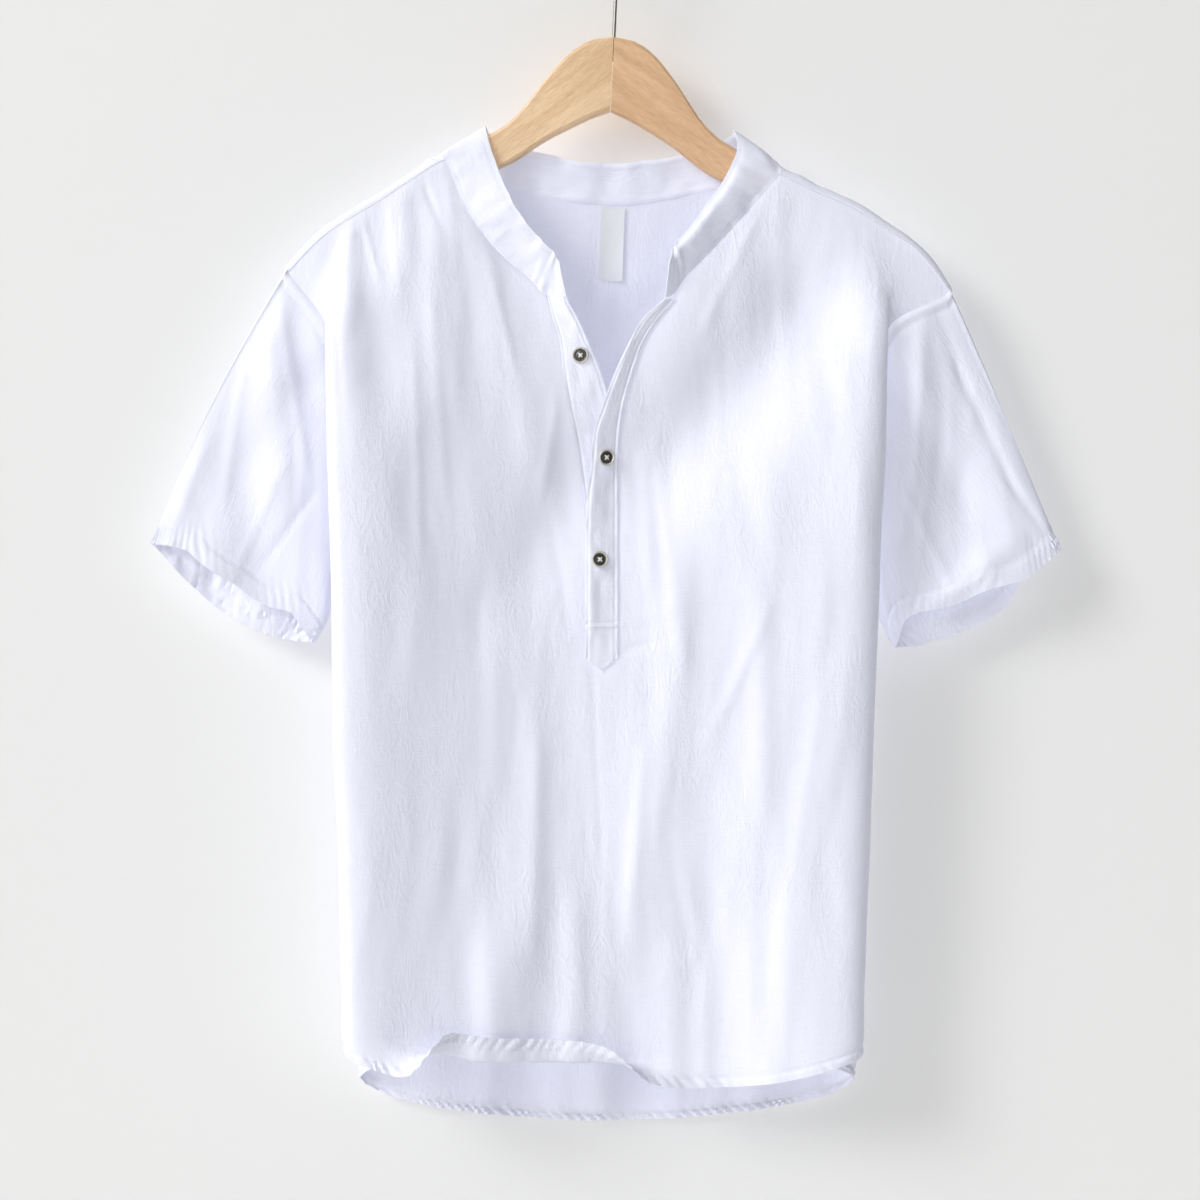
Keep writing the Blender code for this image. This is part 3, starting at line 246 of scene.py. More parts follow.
# The collar, from its left end round the neck: turn round the ridge, seam x, seam height, seam lift, free
# edge x, free edge height, lift. The front's neckline is its rows 1 to 5 and 13 to 17.
COLLAR = (
    (0, -0.0400, -0.2885, 0.0080, -0.0455, -0.2650, 0.007),
    (0, -0.0560, -0.2860, 0.0000, -0.0475, -0.2585, 0.012),
    (0, -0.0670, -0.2750, 0.0000, -0.0520, -0.2525, 0.014),
    (0, -0.0950, -0.2500, 0.0000, -0.0720, -0.2310, 0.013),
    (0, -0.1170, -0.2190, 0.0000, -0.0870, -0.2060, 0.008),
    (0, -0.1320, -0.1823, 0.0000, -0.1000, -0.1700, 0.001),
    (1, -0.1370, -0.1765, 0.0000, -0.1040, -0.1540, 0.000),
    (2, -0.1280, -0.1900, 0.0000, -0.1000, -0.1620, 0.000),
    (2, -0.0750, -0.2050, 0.0000, -0.0650, -0.1740, -0.005),
    (2, 0.0000, -0.2140, 0.0000, -0.0020, -0.1845, -0.007),
    (2, 0.0700, -0.2030, 0.0000, 0.0620, -0.1720, -0.005),
    (2, 0.1130, -0.1960, 0.0000, 0.0880, -0.1610, 0.000),
    (1, 0.1240, -0.1868, 0.0000, 0.0885, -0.1560, 0.000),
    (0, 0.1215, -0.1935, 0.0000, 0.0910, -0.1720, 0.001),
    (0, 0.1035, -0.2155, 0.0000, 0.0770, -0.2020, 0.009),
    (0, 0.0760, -0.2465, 0.0000, 0.0510, -0.2380, 0.013),
    (0, 0.0490, -0.2750, 0.0000, 0.0410, -0.2500, 0.011),
    (0, 0.0412, -0.2865, 0.0018, 0.0405, -0.2560, 0.009),
    (0, 0.0350, -0.2895, 0.0042, 0.0380, -0.2640, 0.007),
)
LEFT_FOOT, LEFT_NECK_POINT, RIGHT_NECK_POINT, RIGHT_FOOT = 1, 5, 13, 17
# Folds of the front: x and height of each end, half width, height of the fold
FRONT_FOLDS = (
    (-0.203, -0.300, -0.197, -0.900, 0.030, 0.0052),    # rounded ridge along the left side fold
    (-0.212, -0.235, -0.210, -0.330, 0.018, 0.0060),
    (-0.186, -0.240, -0.182, -0.900, 0.055, 0.0105),    # broad ridge beside it
    (-0.045, -0.260, -0.008, -0.900, 0.085, -0.0108),   # wide valley down the middle
    (0.215, -0.250, 0.205, -0.440, 0.062, 0.0130),      # wide ridge down the right half
    (0.176, -0.520, 0.170, -0.900, 0.068, 0.0082),
    (-0.064, -0.640, -0.068, -0.770, 0.014, 0.0018),    # ridge left of the placket's foot
    (-0.090, -0.800, -0.098, -0.870, 0.024, 0.0068),    # its lower end, above the turned-up hem
    (-0.034, -0.780, -0.036, -0.870, 0.012, 0.0034),
    (0.020, -0.640, 0.012, -0.760, 0.014, 0.0024),      # ridge below the placket
    (0.016, -0.800, 0.014, -0.890, 0.018, -0.0026),
    (0.074, -0.690, 0.078, -0.880, 0.022, -0.0034),
    (0.072, -0.780, 0.072, -0.900, 0.045, -0.0050),     # valley right of it
    (0.044, -0.540, 0.036, -0.650, 0.012, 0.0020),
    (0.108, -0.550, 0.106, -0.640, 0.011, 0.0020),
    (0.168, -0.580, 0.118, -0.838, 0.012, 0.0012),      # long slanting ridge
    (0.064, -0.840, 0.058, -0.880, 0.011, 0.0012),
    (0.142, -0.302, 0.027, -0.424, 0.044, -0.0165),     # hollow across the right chest
    (-0.040, -0.430, -0.068, -0.490, 0.026, -0.0044),   # hollow left of the placket
    (0.120, -0.420, 0.105, -0.480, 0.022, 0.0016),
    (-0.108, -0.242, -0.067, -0.395, 0.014, 0.0022),
    (-0.186, -0.225, -0.182, -0.330, 0.018, -0.0030),
    (-0.140, -0.230, -0.128, -0.330, 0.012, 0.0020),
)
# Sharper creases that lie on those folds
FRONT_CREASES = (
    (-0.062, -0.640, -0.066, -0.770, 0.0060, 0.0010),
    (-0.020, -0.580, -0.014, -0.700, 0.0030, -0.0005),
    (0.018, -0.640, 0.010, -0.740, 0.0055, 0.0009),
    (0.080, -0.600, 0.104, -0.545, 0.0050, 0.0010),
    (0.150, -0.600, 0.118, -0.800, 0.0060, 0.0006),
    (0.028, -0.405, 0.048, -0.560, 0.0060, 0.0010),
    (0.002, -0.536, 0.031, -0.529, 0.0025, 0.0008),
    (0.004, -0.557, 0.024, -0.551, 0.0030, -0.0008),
    (-0.150, -0.198, -0.144, -0.213, 0.0030, -0.0009),
    (-0.196, -0.225, -0.186, -0.262, 0.0035, 0.0010),
    (-0.176, -0.215, -0.168, -0.270, 0.0040, 0.0008),
    (-0.128, -0.215, -0.121, -0.290, 0.0050, 0.0008),
    (-0.098, -0.262, -0.083, -0.330, 0.0040, 0.0009),
    (0.098, -0.240, 0.070, -0.300, 0.0050, 0.0008),
    (0.122, -0.225, 0.128, -0.330, 0.0060, 0.0007),
    (0.020, -0.420, 0.024, -0.505, 0.0060, 0.0010),
    (-0.142, -0.300, -0.132, -0.420, 0.0050, 0.0008),
    (-0.155, -0.340, -0.150, -0.470, 0.0040, 0.0007),
    (-0.045, -0.360, -0.056, -0.420, 0.0045, 0.0009),
    (-0.050, -0.470, -0.040, -0.530, 0.0050, -0.0007),
    (-0.206, -0.228, -0.205, -0.290, 0.0090, 0.0030),
    (-0.168, -0.204, -0.163, -0.250, 0.0090, 0.0026),
)


def smooth(t):
    """0 to 1 with level ends."""
    t = np.clip(t, 0.0, 1.0)
    return t * t * (3.0 - 2.0 * t)


def curve_through(knots, values, at):
    """A smooth curve through a table's column that never overshoots its rows."""
    knots, values, at = (np.asarray(a, float) for a in (knots, values, at))
    step = np.diff(knots)
    slope = np.diff(values) / step
    tangent = np.empty_like(values)
    tangent[0], tangent[-1] = slope[0], slope[-1]
    product, total = slope[1:] * slope[:-1], slope[1:] + slope[:-1]
    rising = product > 0
    tangent[1:-1] = np.where(rising, 2.0 * product / np.where(rising, total, 1.0), 0.0)
    i = np.clip(np.searchsorted(knots, at, side="right") - 1, 0, len(step) - 1)
    t = np.clip((at - knots[i]) / step[i], 0.0, 1.0)
    rest = 1.0 - t
    return (
        values[i] * (1.0 + 2.0 * t) * rest**2
        + values[i + 1] * (3.0 - 2.0 * t) * t**2
        + step[i] * (tangent[i] * t * rest**2 - tangent[i + 1] * rest * t**2)
    )


def column(table, number):
    return [row[number] for row in table]


def from_table(table, number, at):
    """A table's column as a smooth curve over its first one, which rises or falls all the way."""
    rows = sorted(table)
    return curve_through(column(rows, 0), column(rows, number), at)


def crest(x):
    return from_table(CREST, 1, x)


def folds(table, x, z, fade=FOLD_FADE):
    """How far the table's folds stand out of a face at x and height z."""
    total = np.zeros(np.broadcast(x, z).shape)
    for x0, z0, x1, z1, half_width, height in table:
        length = math.hypot(x1 - x0, z1 - z0)
        along = ((x - x0) * (x1 - x0) + (z - z0) * (z1 - z0)) / length
        beside = ((x - x0) * (z1 - z0) - (z - z0) * (x1 - x0)) / length
        past = np.maximum(0.0, np.abs(along - length / 2.0) - length / 2.0)
        total = total + height * np.exp(-((beside / half_width) ** 2) - (past / fade) ** 2)
    return total


def crumple(u, v, width, length, seed):
    """Smooth random heights between -1 and 1, in patches of that width and length."""
    heights = np.random.default_rng(seed).uniform(-1.0, 1.0, (256, 256))
    a, b = u / width + 60.0, v / length + 60.0
    i, j = np.floor(a).astype(int), np.floor(b).astype(int)
    s, t = smooth(a - i), smooth(b - j)
    near = heights[i % 256, j % 256] * (1.0 - s) + heights[(i + 1) % 256, j % 256] * s
    far = heights[i % 256, (j + 1) % 256] * (1.0 - s) + heights[(i + 1) % 256, (j + 1) % 256] * s
    return near * (1.0 - t) + far * t


def waver(along, length, seed):
    """Smooth random values between -1 and 1 along a line."""
    return crumple(along, 0.0 * along, length, 1.0, seed)


def hump(away, half_width):
    """1 in the middle, 0 some way from it."""
    return np.exp(-((away / half_width) ** 2))


def washed_linen(u, v, seed):
    """Heights of washed linen's lengthwise crinkle, u across the grain and v along it."""
    u = u + 0.010 * crumple(u, v, 0.045, 0.10, seed)
    broad = crumple(u, v, 0.016, 0.090, seed + 1)
    sharp = 1.0 - 2.0 * np.abs(crumple(u, v, 0.022, 0.075, seed + 2))
    fine = crumple(u, v, 0.0065, 0.024, seed + 3)
    patches = 0.6 + 0.4 * crumple(u, v, 0.07, 0.11, seed + 4)
    return 0.0008 * broad + 0.0005 * sharp * patches + 0.0002 * fine * patches


def front_depth(x, z):
    """y of the front's outer face."""
    drop = crest(x) - RIDGE_RISE - z
    fullness = FRONT_FALL * smooth(drop / FRONT_FALL_DROP)
    return -RIDGE_HALF - fullness - folds(FRONT_FOLDS, x, z) * smooth(drop / FOLDS_FULL)


def front_hem_rise(x):
    return 0.024 * (np.maximum(0.0, np.abs(x - BODY_MIDDLE) - 0.07) / 0.125) ** 2


def corner_tuck(x, z, top, depth, reach):
    """How far the cloth near a lower corner lies nearer to the middle than the straight side fold."""
    away = x - BODY_MIDDLE
    side = np.where(away < 0.0, -1.0, 0.4)
    return -side * reach * smooth((top - z) / depth) * smooth((np.abs(away) - 0.12) / 0.075)


def line_rows(rows):
    """The number of the row that each line of a table is."""
    return np.cumsum([0] + [row[0] for row in rows[:-1]])


def row_values(rows, number, at):
    return curve_through(line_rows(rows), column(rows, number), at)


def fine_rows(first, last, spacing=FINE_ROW):
    """Rows between two lines of the tables, evenly apart in each span, and the last one."""
    lines = line_rows(LEFT_ROWS)
    rows = []
    for line in range(first, last):
        count = max(2, round((LEFT_ROWS[line][1] - LEFT_ROWS[line + 1][1]) / spacing))
        rows.extend(lines[line] + (lines[line + 1] - lines[line]) * k / count for k in range(count))
    return np.array([*rows, float(lines[last])])


def wrap(start, fold_x, end, share, rounded):
    """Points from a face's edge round the side fold to the outer edge; rounded is 0 where it lies straight."""
    first = np.sin(np.pi * np.minimum(share, 0.5))
    last = 1.0 - np.cos(np.pi * np.maximum(share - 0.5, 0.0))
    x = start[0] + (fold_x - start[0]) * first + (end[0] - fold_x) * last
    y = start[1] + (end[1] - start[1]) * (1.0 - np.cos(np.pi * share / 2.0))
    x = (1.0 - rounded) * (start[0] + (end[0] - start[0]) * share) + rounded * x
    y = (1.0 - rounded) * (start[1] + (end[1] - start[1]) * share) + rounded * y
    return np.stack((x, y, start[2] + (end[2] - start[2]) * share), axis=-1)


def opening_edge(rows, side, r):
    """x and height of the front's inner edge at a row: along the collar, the opening or the middle."""
    lines = line_rows(rows)
    if r <= lines[COLLAR_LINE]:
        neck, foot = (LEFT_NECK_POINT, LEFT_FOOT) if side < 0 else (RIGHT_NECK_POINT, RIGHT_FOOT)
        at = neck + (foot - neck) * r / lines[COLLAR_LINE]
        return tuple(float(curve_through(np.arange(len(COLLAR)), column(COLLAR, n), at)) for n in (1, 2))
    z = float(row_values(rows, 1, r))
    edge = float(from_table(OPENING, 1 if side < 0 else 2, z))
    closed = min(max((r - lines[FOOT_LINE]) / (lines[FOOT_LINE + 1] - lines[FOOT_LINE]), 0.0), 1.0)
    return edge + (PLACKET_MIDDLE - edge) * closed, z


def outer_edge(rows, r):
    """x, y and height of the front's armhole or side seam at a row; the back's has the other y."""
    x, y, z = (float(row_values(rows, number, r)) for number in (4, 5, 6))
    meet = r >= line_rows(rows)[ARMPIT_LINE]
    return x, -SEAM_GAP / 2.0 if meet else y, z


def front_half(rows, side, at_rows, curl_steps):
    """Grid of one half of the front, from the opening outwards; side is -1 for the left one."""
    lines = line_rows(rows)
    grid = np.zeros((len(at_rows) + len(curl_steps), FLAT_COLUMNS + WRAP_COLUMNS + 1, 3))
    share = np.linspace(0.0, 1.0, WRAP_COLUMNS + 1)
    flat = np.linspace(0.0, 1.0, FLAT_COLUMNS + 1)
    for i, r in enumerate(at_rows):
        fold_x, fold_z = (float(row_values(rows, number, r)) for number in (2, 3))
        outer_x, outer_y, outer_z = outer_edge(rows, r)
        inner_x, inner_z = opening_edge(rows, side, r)
        roll = side * ROLL[side] * (0.4 + 0.6 * float(smooth(r / lines[ARMPIT_LINE])))
        x = inner_x + (fold_x - roll - inner_x) * flat
        z = inner_z + (fold_z - inner_z) * flat
        seam = crest(x) - RIDGE_RISE
        z = seam + (z - seam) * float(smooth(r / 0.5)) if r < 0.5 else z
        low = smooth((r - lines[FOOT_LINE]) / (lines[-1] - lines[FOOT_LINE]))
        z = z + low * (FRONT_HEM + CURL_REACH + front_hem_rise(x) - rows[-1][1])
        outer_z += low * float(FRONT_HEM + CURL_REACH + front_hem_rise(fold_x) - rows[-1][1])
        y = front_depth(x, z)
        grid[i, : FLAT_COLUMNS + 1] = np.stack((x, y, z), axis=-1)
        rounded = float(smooth(r / lines[1]))
        start = np.array((x[-1], y[-1], z[-1]))
        grid[i, FLAT_COLUMNS:] = wrap(start, fold_x, (outer_x, outer_y, outer_z), share, rounded)
        if r == 0:
            grid[0, FLAT_COLUMNS:, 2] = crest(grid[0, FLAT_COLUMNS:, 0]) - RIDGE_RISE
    last = len(at_rows) - 1
    x = grid[last, :, 0]
    starts = CURL_REACH - from_table(HEM_CURL, 1, x)
    angle = np.radians(np.maximum(from_table(HEM_CURL, 2, x), 0.05))
    for step, length in enumerate(curl_steps, 1):
        bent = np.clip(length - starts, 0.0, CURL_BEND) / CURL_BEND * angle
        straight = np.maximum(0.0, length - starts - CURL_BEND)
        out = CURL_BEND / angle * (1.0 - np.cos(bent)) + straight * np.sin(angle)
        down = np.minimum(length, starts) + CURL_BEND / angle * np.sin(bent) + straight * np.cos(angle)
        grid[last + step] = grid[last]
        grid[last + step, :, 1] -= out
        grid[last + step, :, 2] -= down
    grid[:, :, 0] += corner_tuck(grid[:, :, 0], grid[:, :, 2], *FRONT_TUCK)
    return grid


def grid_normals(grid, outward, ring=False):
    """Unit normals of a grid of points; ring is set where the last column meets the first."""
    down = np.gradient(grid, axis=0)
    across = np.roll(grid, -1, axis=1) - np.roll(grid, 1, axis=1) if ring else np.gradient(grid, axis=1)
    normals = np.cross(down, across)
    return outward * normals / np.maximum(np.linalg.norm(normals, axis=2, keepdims=True), 1e-12)


def lengths(grid, axis):
    """How far each point is from the grid's first row or column, along the cloth."""
    steps = np.linalg.norm(np.diff(grid, axis=axis), axis=2)
    return np.insert(np.cumsum(steps, axis=axis), 0, 0.0, axis=axis)


def hem_relief(along, from_edge, band, seed, strength=1.0):
    """A turned hem's thickness, its slanting puckers and the groove of its stitching."""
    strong = 0.55 + 0.45 * waver(along, 0.035, seed + 1)
    ripple = np.sin(2.0 * np.pi * (along / 0.0078 + from_edge / 0.011 + 0.8 * waver(along, 0.022, seed)))
    turned = smooth((band + 0.0008 - from_edge) / 0.0016)
    puckers, groove = hump(from_edge - 0.5 * band, 0.9 * band), hump(from_edge - band, 0.0013)
    return 0.0007 * turned + strength * (0.0008 * strong * ripple * puckers - 0.0005 * groove)


def grid_faces(rows, columns, ring=False):
    """Quads of a grid whose points are numbered row by row."""
    r, c = np.meshgrid(np.arange(rows - 1), np.arange(columns if ring else columns - 1), indexing="ij")
    r, c = r.ravel(), c.ravel()
    d = (c + 1) % columns
    return np.stack((r * columns + c, r * columns + d, (r + 1) * columns + d, (r + 1) * columns + c), axis=1)


def cloth_piece(name, grid, normals, across, along, finish, thickness=CLOTH, faces=None, ring=False):
    """Close a grid of points into a wall of cloth. across and along are each point's place on the flat cloth."""
    faces = grid_faces(*grid.shape[:2], ring) if faces is None else faces
    across, along, thickness = (np.broadcast_to(a, grid.shape[:2]).ravel() for a in (across, along, thickness))
    points = grid.reshape(-1, 3)
    count = len(points)
    directed = np.stack((faces.ravel(), faces[:, (1, 2, 3, 0)].ravel()), axis=1)
    keys = directed[:, 0] * count + directed[:, 1]
    rim = directed[~np.isin(keys, directed[:, 1] * count + directed[:, 0])]
    rims = np.stack((rim[:, 1], rim[:, 0], rim[:, 0] + count, rim[:, 1] + count), axis=1)
    both = np.concatenate((faces, faces[:, ::-1] + count, rims))
    inside = points - thickness[:, None] * normals.reshape(-1, 3)
    mesh = bpy.data.meshes.new(name)
    mesh.from_pydata(np.concatenate((points, inside)).tolist(), [], both.tolist())
    corner = np.empty(len(mesh.loops), int)
    mesh.loops.foreach_get("vertex_index", corner)
    flat = np.stack((across, along), axis=1)[corner % count]
    mesh.uv_layers.new(name="cloth").data.foreach_set("uv", flat.astype(np.float32).ravel())
    shape = bmesh.new()
    shape.from_mesh(mesh)
    bmesh.ops.delete(shape, geom=[v for v in shape.verts if not v.link_faces], context="VERTS")
    bmesh.ops.recalc_face_normals(shape, faces=shape.faces)
    shape.to_mesh(mesh)
    shape.free()
    mesh.materials.append(finish)
    mesh.shade_smooth()
    mesh.set_sharp_from_angle(angle=math.radians(50))
    return put(name, mesh)


def colour_ramp(add, colours, ends=(0.0, 1.0)):
    """A ramp from one colour to another."""
    ramp = add("ShaderNodeValToRGB")
    for element, colour, place in zip(ramp.color_ramp.elements, colours, ends):
        element.position = place
        element.color = (*colour, 1.0)
    return ramp


def linen(name, light, dark):
    """Plain-woven washed linen: threads, slubs and small lengthwise crinkles, on the cloth's own UV map."""
    made, add, join, shader, output = new_material(
        name, Roughness=0.85, Sheen_Weight=0.08, Sheen_Roughness=0.5, Specular_IOR_Level=0.25,
    )
    where = add("ShaderNodeUVMap")
    where.uv_map = "cloth"

    def speckle(scale_across, scale_along, detail=2.0, distortion=0.0):
        mapping = add("ShaderNodeMapping", Scale=(scale_across, scale_along, 1.0))
        noise = add("ShaderNodeTexNoise", Scale=1.0, Detail=detail, Distortion=distortion)
        join((where, "UV", mapping, "Vector"), (mapping, "Vector", noise, "Vector"))
        return noise

    def threads(direction):
        wave = add("ShaderNodeTexWave", Scale=WAVES_PER_METRE / THREAD_PITCH, Distortion=0.6, Detail_Scale=0.2)
        wave.bands_direction = direction
        join((where, "UV", wave, "Vector"))
        return wave

    def together(operation, first, second):
        sum_node = add("ShaderNodeMath")
        sum_node.operation = operation
        for socket, value in enumerate((first, second)):
            if isinstance(value, float):
                sum_node.inputs[socket].default_value = value
            else:
                join((value, "Fac" if "Fac" in value.outputs else 0, sum_node, socket))
        return sum_node

    def creases(noise):
        return together("ABSOLUTE", together("SUBTRACT", noise, 0.5), 0.0)

    slubs = together("ADD", speckle(70.0, 1500.0), speckle(1500.0, 60.0))
    weave = together("MULTIPLY", threads("X"), threads("Y"))
    surface = together("ADD", together("MULTIPLY", weave, 0.5), slubs)
    tone = add("ShaderNodeMapRange", From_Min=0.55, From_Max=1.45)
    colour = colour_ramp(add, (dark, light))
    wrinkles, small = creases(speckle(110.0, 42.0, 4.0, 1.3)), creases(speckle(260.0, 120.0, 3.0, 0.8))
    patches = add("ShaderNodeMapRange", From_Min=0.38, From_Max=0.62)
    join((speckle(14.0, 9.0), "Fac", patches, "Value"))
    crumpled = together("ADD", wrinkles, together("MULTIPLY", small, 0.5))
    crinkle = add("ShaderNodeBump", Strength=0.52, Distance=0.0022)
    relief = add("ShaderNodeBump", Strength=0.5, Distance=0.00015)
    thin, either = add("ShaderNodeBsdfTranslucent"), add("ShaderNodeMixShader", Fac=0.15)
    join(
        (slubs, 0, tone, "Value"), (tone, "Result", colour, "Fac"), (colour, "Color", shader, "Base Color"),
        (together("MULTIPLY", crumpled, patches), 0, crinkle, "Height"), (surface, 0, relief, "Height"),
        (crinkle, "Normal", relief, "Normal"), (relief, "Normal", shader, "Normal"),
        (colour, "Color", thin, "Color"), (shader, 0, either, 1), (thin, 0, either, 2),
        (either, 0, output, "Surface"),
    )
    return made


white_linen = linen("white_linen", (0.868, 0.876, 0.965), (0.792, 0.800, 0.893))
body_rows = fine_rows(0, len(LEFT_ROWS) - 1)
above_hem = np.linspace(0.0, CURL_REACH - 1.2 * HEM_EDGE, 20)[1:]
curl_steps = np.concatenate((above_hem, CURL_REACH - np.linspace(HEM_EDGE, 0.0, 6)))
halves = [front_half(LEFT_ROWS, -1, body_rows, curl_steps), front_half(RIGHT_ROWS, 1, body_rows, curl_steps)]
foot_height = OPENING[-1][0]
from_hem = np.concatenate((np.full(len(body_rows), CURL_REACH), CURL_REACH - curl_steps))[:, None]
for half, side in zip(halves, (-1, 1)):
    from_inner, from_top = lengths(half, 1), lengths(half, 0)
    from_outer = from_inner[:, -1:] - from_inner
    below_foot = smooth((foot_height - 0.004 - half[:, :1, 2]) / 0.03)
    calm = smooth(from_outer / SEAM_CALM) * smooth(from_top / 0.014)
    calm = calm * (below_foot + (1.0 - below_foot) * smooth(from_inner / SEAM_CALM))
    x, z = half[:, :, 0], half[:, :, 2]
    on_cloth = np.where(from_hem < CURL_REACH, z[len(body_rows) - 1] - (CURL_REACH - from_hem), z)
    relief = calm * (washed_linen(x, on_cloth, 11) + folds(FRONT_CREASES, x, on_cloth, 0.02))
    at_neck = smooth((z + 0.30) / 0.02)
    relief = relief - 0.0005 * (hump(from_inner, SEAM_DITCH) + hump(from_top, SEAM_DITCH)) * at_neck
    relief = relief + smooth(from_outer / 0.045) * hem_relief(x, from_hem, HEM_BAND, 31, 1.3)
    half += relief[:, :, None] * grid_normals(half, side)
front_grid = np.concatenate((halves[0][:, ::-1], halves[1]), axis=1)
half_width = halves[0].shape[1]
joined_row = len(fine_rows(0, FOOT_LINE + 1)) - 1
middle = slice(half_width - 1, half_width + 1)      # the two columns that meet below the placket's foot
front_grid[joined_row:, middle] = front_grid[joined_row:, middle].mean(axis=1, keepdims=True)
sides = front_grid[:, :half_width], front_grid[:, half_width:]
front_normals = np.concatenate([grid_normals(part, 1) for part in sides], axis=1)
joined = front_normals[joined_row:, middle].sum(axis=1, keepdims=True)
front_normals[joined_row:, middle] = joined / np.linalg.norm(joined, axis=2, keepdims=True)
width = 2 * half_width
faces = grid_faces(len(front_grid), width)
faces = faces[faces[:, 0] % width != half_width - 1]
joined_points = (faces % width == half_width) & (faces // width >= joined_row)
faces = np.where(joined_points, faces - 1, faces)
down_middle = lengths(front_grid[:, half_width : half_width + 1], 0)
front_cloth = cloth_piece(
    "front_cloth", front_grid, front_normals, front_grid[:, :, 0], -down_middle, white_linen, faces=faces,
)
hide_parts("front")
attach(front_cloth, "root")

# ==================================================================== back
# The back is one plain panel of the same linen. It comes over the shoulders to the forward seams, is a
# little longer than the front, and has the same narrow hem.
BACK_FALL = 0.019
BACK_FALL_DROP = 0.13
BACK_HEM = -0.922
BACK_TUCK = (-0.856, 0.046, 0.013)
BACK_ROW = 0.035            # distance between the back's last rows, in rows of the table, next to its cut edge
SHOULDER_COLUMNS = 22
COLLAR_FINE = 12            # columns between two rows of the collar's table
RIDGE_ROWS = 12             # rows that go over the ridge
RIDGE_BELOW = 0.006
NECK_SPREAD = 0.024
BACK_FOLDS = (
    (-0.130, -0.300, -0.150, -0.840, 0.024, -0.0060),
    (-0.080, -0.420, -0.070, -0.880, 0.020, 0.0060),
    (-0.025, -0.500, -0.015, -0.860, 0.018, -0.0050),
    (0.035, -0.450, 0.020, -0.880, 0.020, 0.0065),
    (0.090, -0.350, 0.110, -0.860, 0.022, -0.0060),
    (0.150, -0.420, 0.140, -0.800, 0.018, 0.0050),
    (-0.110, -0.260, -0.030, -0.310, 0.020, 0.0020),
    (0.090, -0.260, 0.020, -0.300, 0.020, 0.0020),
)


def back_depth(x, z):
    """y of the back's outer face."""
    drop = crest(x) - RIDGE_RISE - z
    fullness = BACK_FALL * smooth(drop / BACK_FALL_DROP)
    return RIDGE_HALF + fullness + folds(BACK_FOLDS, x, z) * smooth(drop / FOLDS_FULL)


def back_hem_rise(x):
    away = np.abs(x - BODY_MIDDLE)
    return 0.022 * (away / 0.19) ** 2 + 0.015 * (np.maximum(0.0, away - 0.18) / 0.02) ** 2


def collar_stations(first, last):
    """The collar's columns between two of its rows, one array for each of its table's columns."""
    at = np.linspace(first, last, COLLAR_FINE * (last - first) + 1)
    rows = np.arange(len(COLLAR))
    return [np.round(curve_through(rows, column(COLLAR, number), at), 9) for number in range(7)]


def on_ridge(x, around):
    """A point on the rounded ridge: around is 0 at the forward shoulder seam, pi at the back's."""
    return np.array((x, -RIDGE_HALF * math.cos(around), float(crest(x)) - RIDGE_RISE * (1.0 - math.sin(around))))


def back_top():
    """Top edge of the back from the left outer edge to the right one: x, x under the ridge, turn, height."""
    turn, neck, height = collar_stations(LEFT_NECK_POINT, RIGHT_NECK_POINT)[:3]
    columns = []
    for rows, side, end in ((LEFT_ROWS, -1, neck[0]), (RIGHT_ROWS, 1, neck[-1])):
        face = rows[0][2] - side * ROLL[side]
        flat = np.linspace(0.0, 1.0, SHOULDER_COLUMNS + 1)[:-1]
        past = np.linspace(1.0, 0.0, WRAP_COLUMNS + 1)[:-1]
        x = np.concatenate((face + (rows[0][4] - face) * past, face + (end - face) * flat))
        spread = np.concatenate((np.zeros(WRAP_COLUMNS), side * NECK_SPREAD * flat))
        columns.append(np.stack((x, x + spread, np.zeros_like(x), crest(x) - RIDGE_RISE))[:, ::-side])
    side = np.where(neck < 0.0, -1.0, 1.0)
    spread = side * NECK_SPREAD * (1.0 - turn / 2.0) ** 2
    return np.concatenate((columns[0], np.stack((neck, neck + spread, turn, height)), columns[1]), axis=1)


def over_and_down(x, foot_x, turn, height, share):
    """A point of the back between its top edge and the place that is RIDGE_BELOW under the ridge."""
    arc = math.pi * RIDGE_RISE
    begin = (turn / 2.0 - 1.0) * arc if turn < 2.0 else float(crest(x)) - RIDGE_RISE - height
    at = begin + (max(begin, 0.0) + RIDGE_BELOW - begin) * share
    x = x + (foot_x - x) * math.sqrt(share)
    if at < 0.0:
        return on_ridge(x, math.pi * (1.0 + at / arc))
    z = float(crest(x)) - RIDGE_RISE - at
    return np.array((x, float(back_depth(x, z)), z))


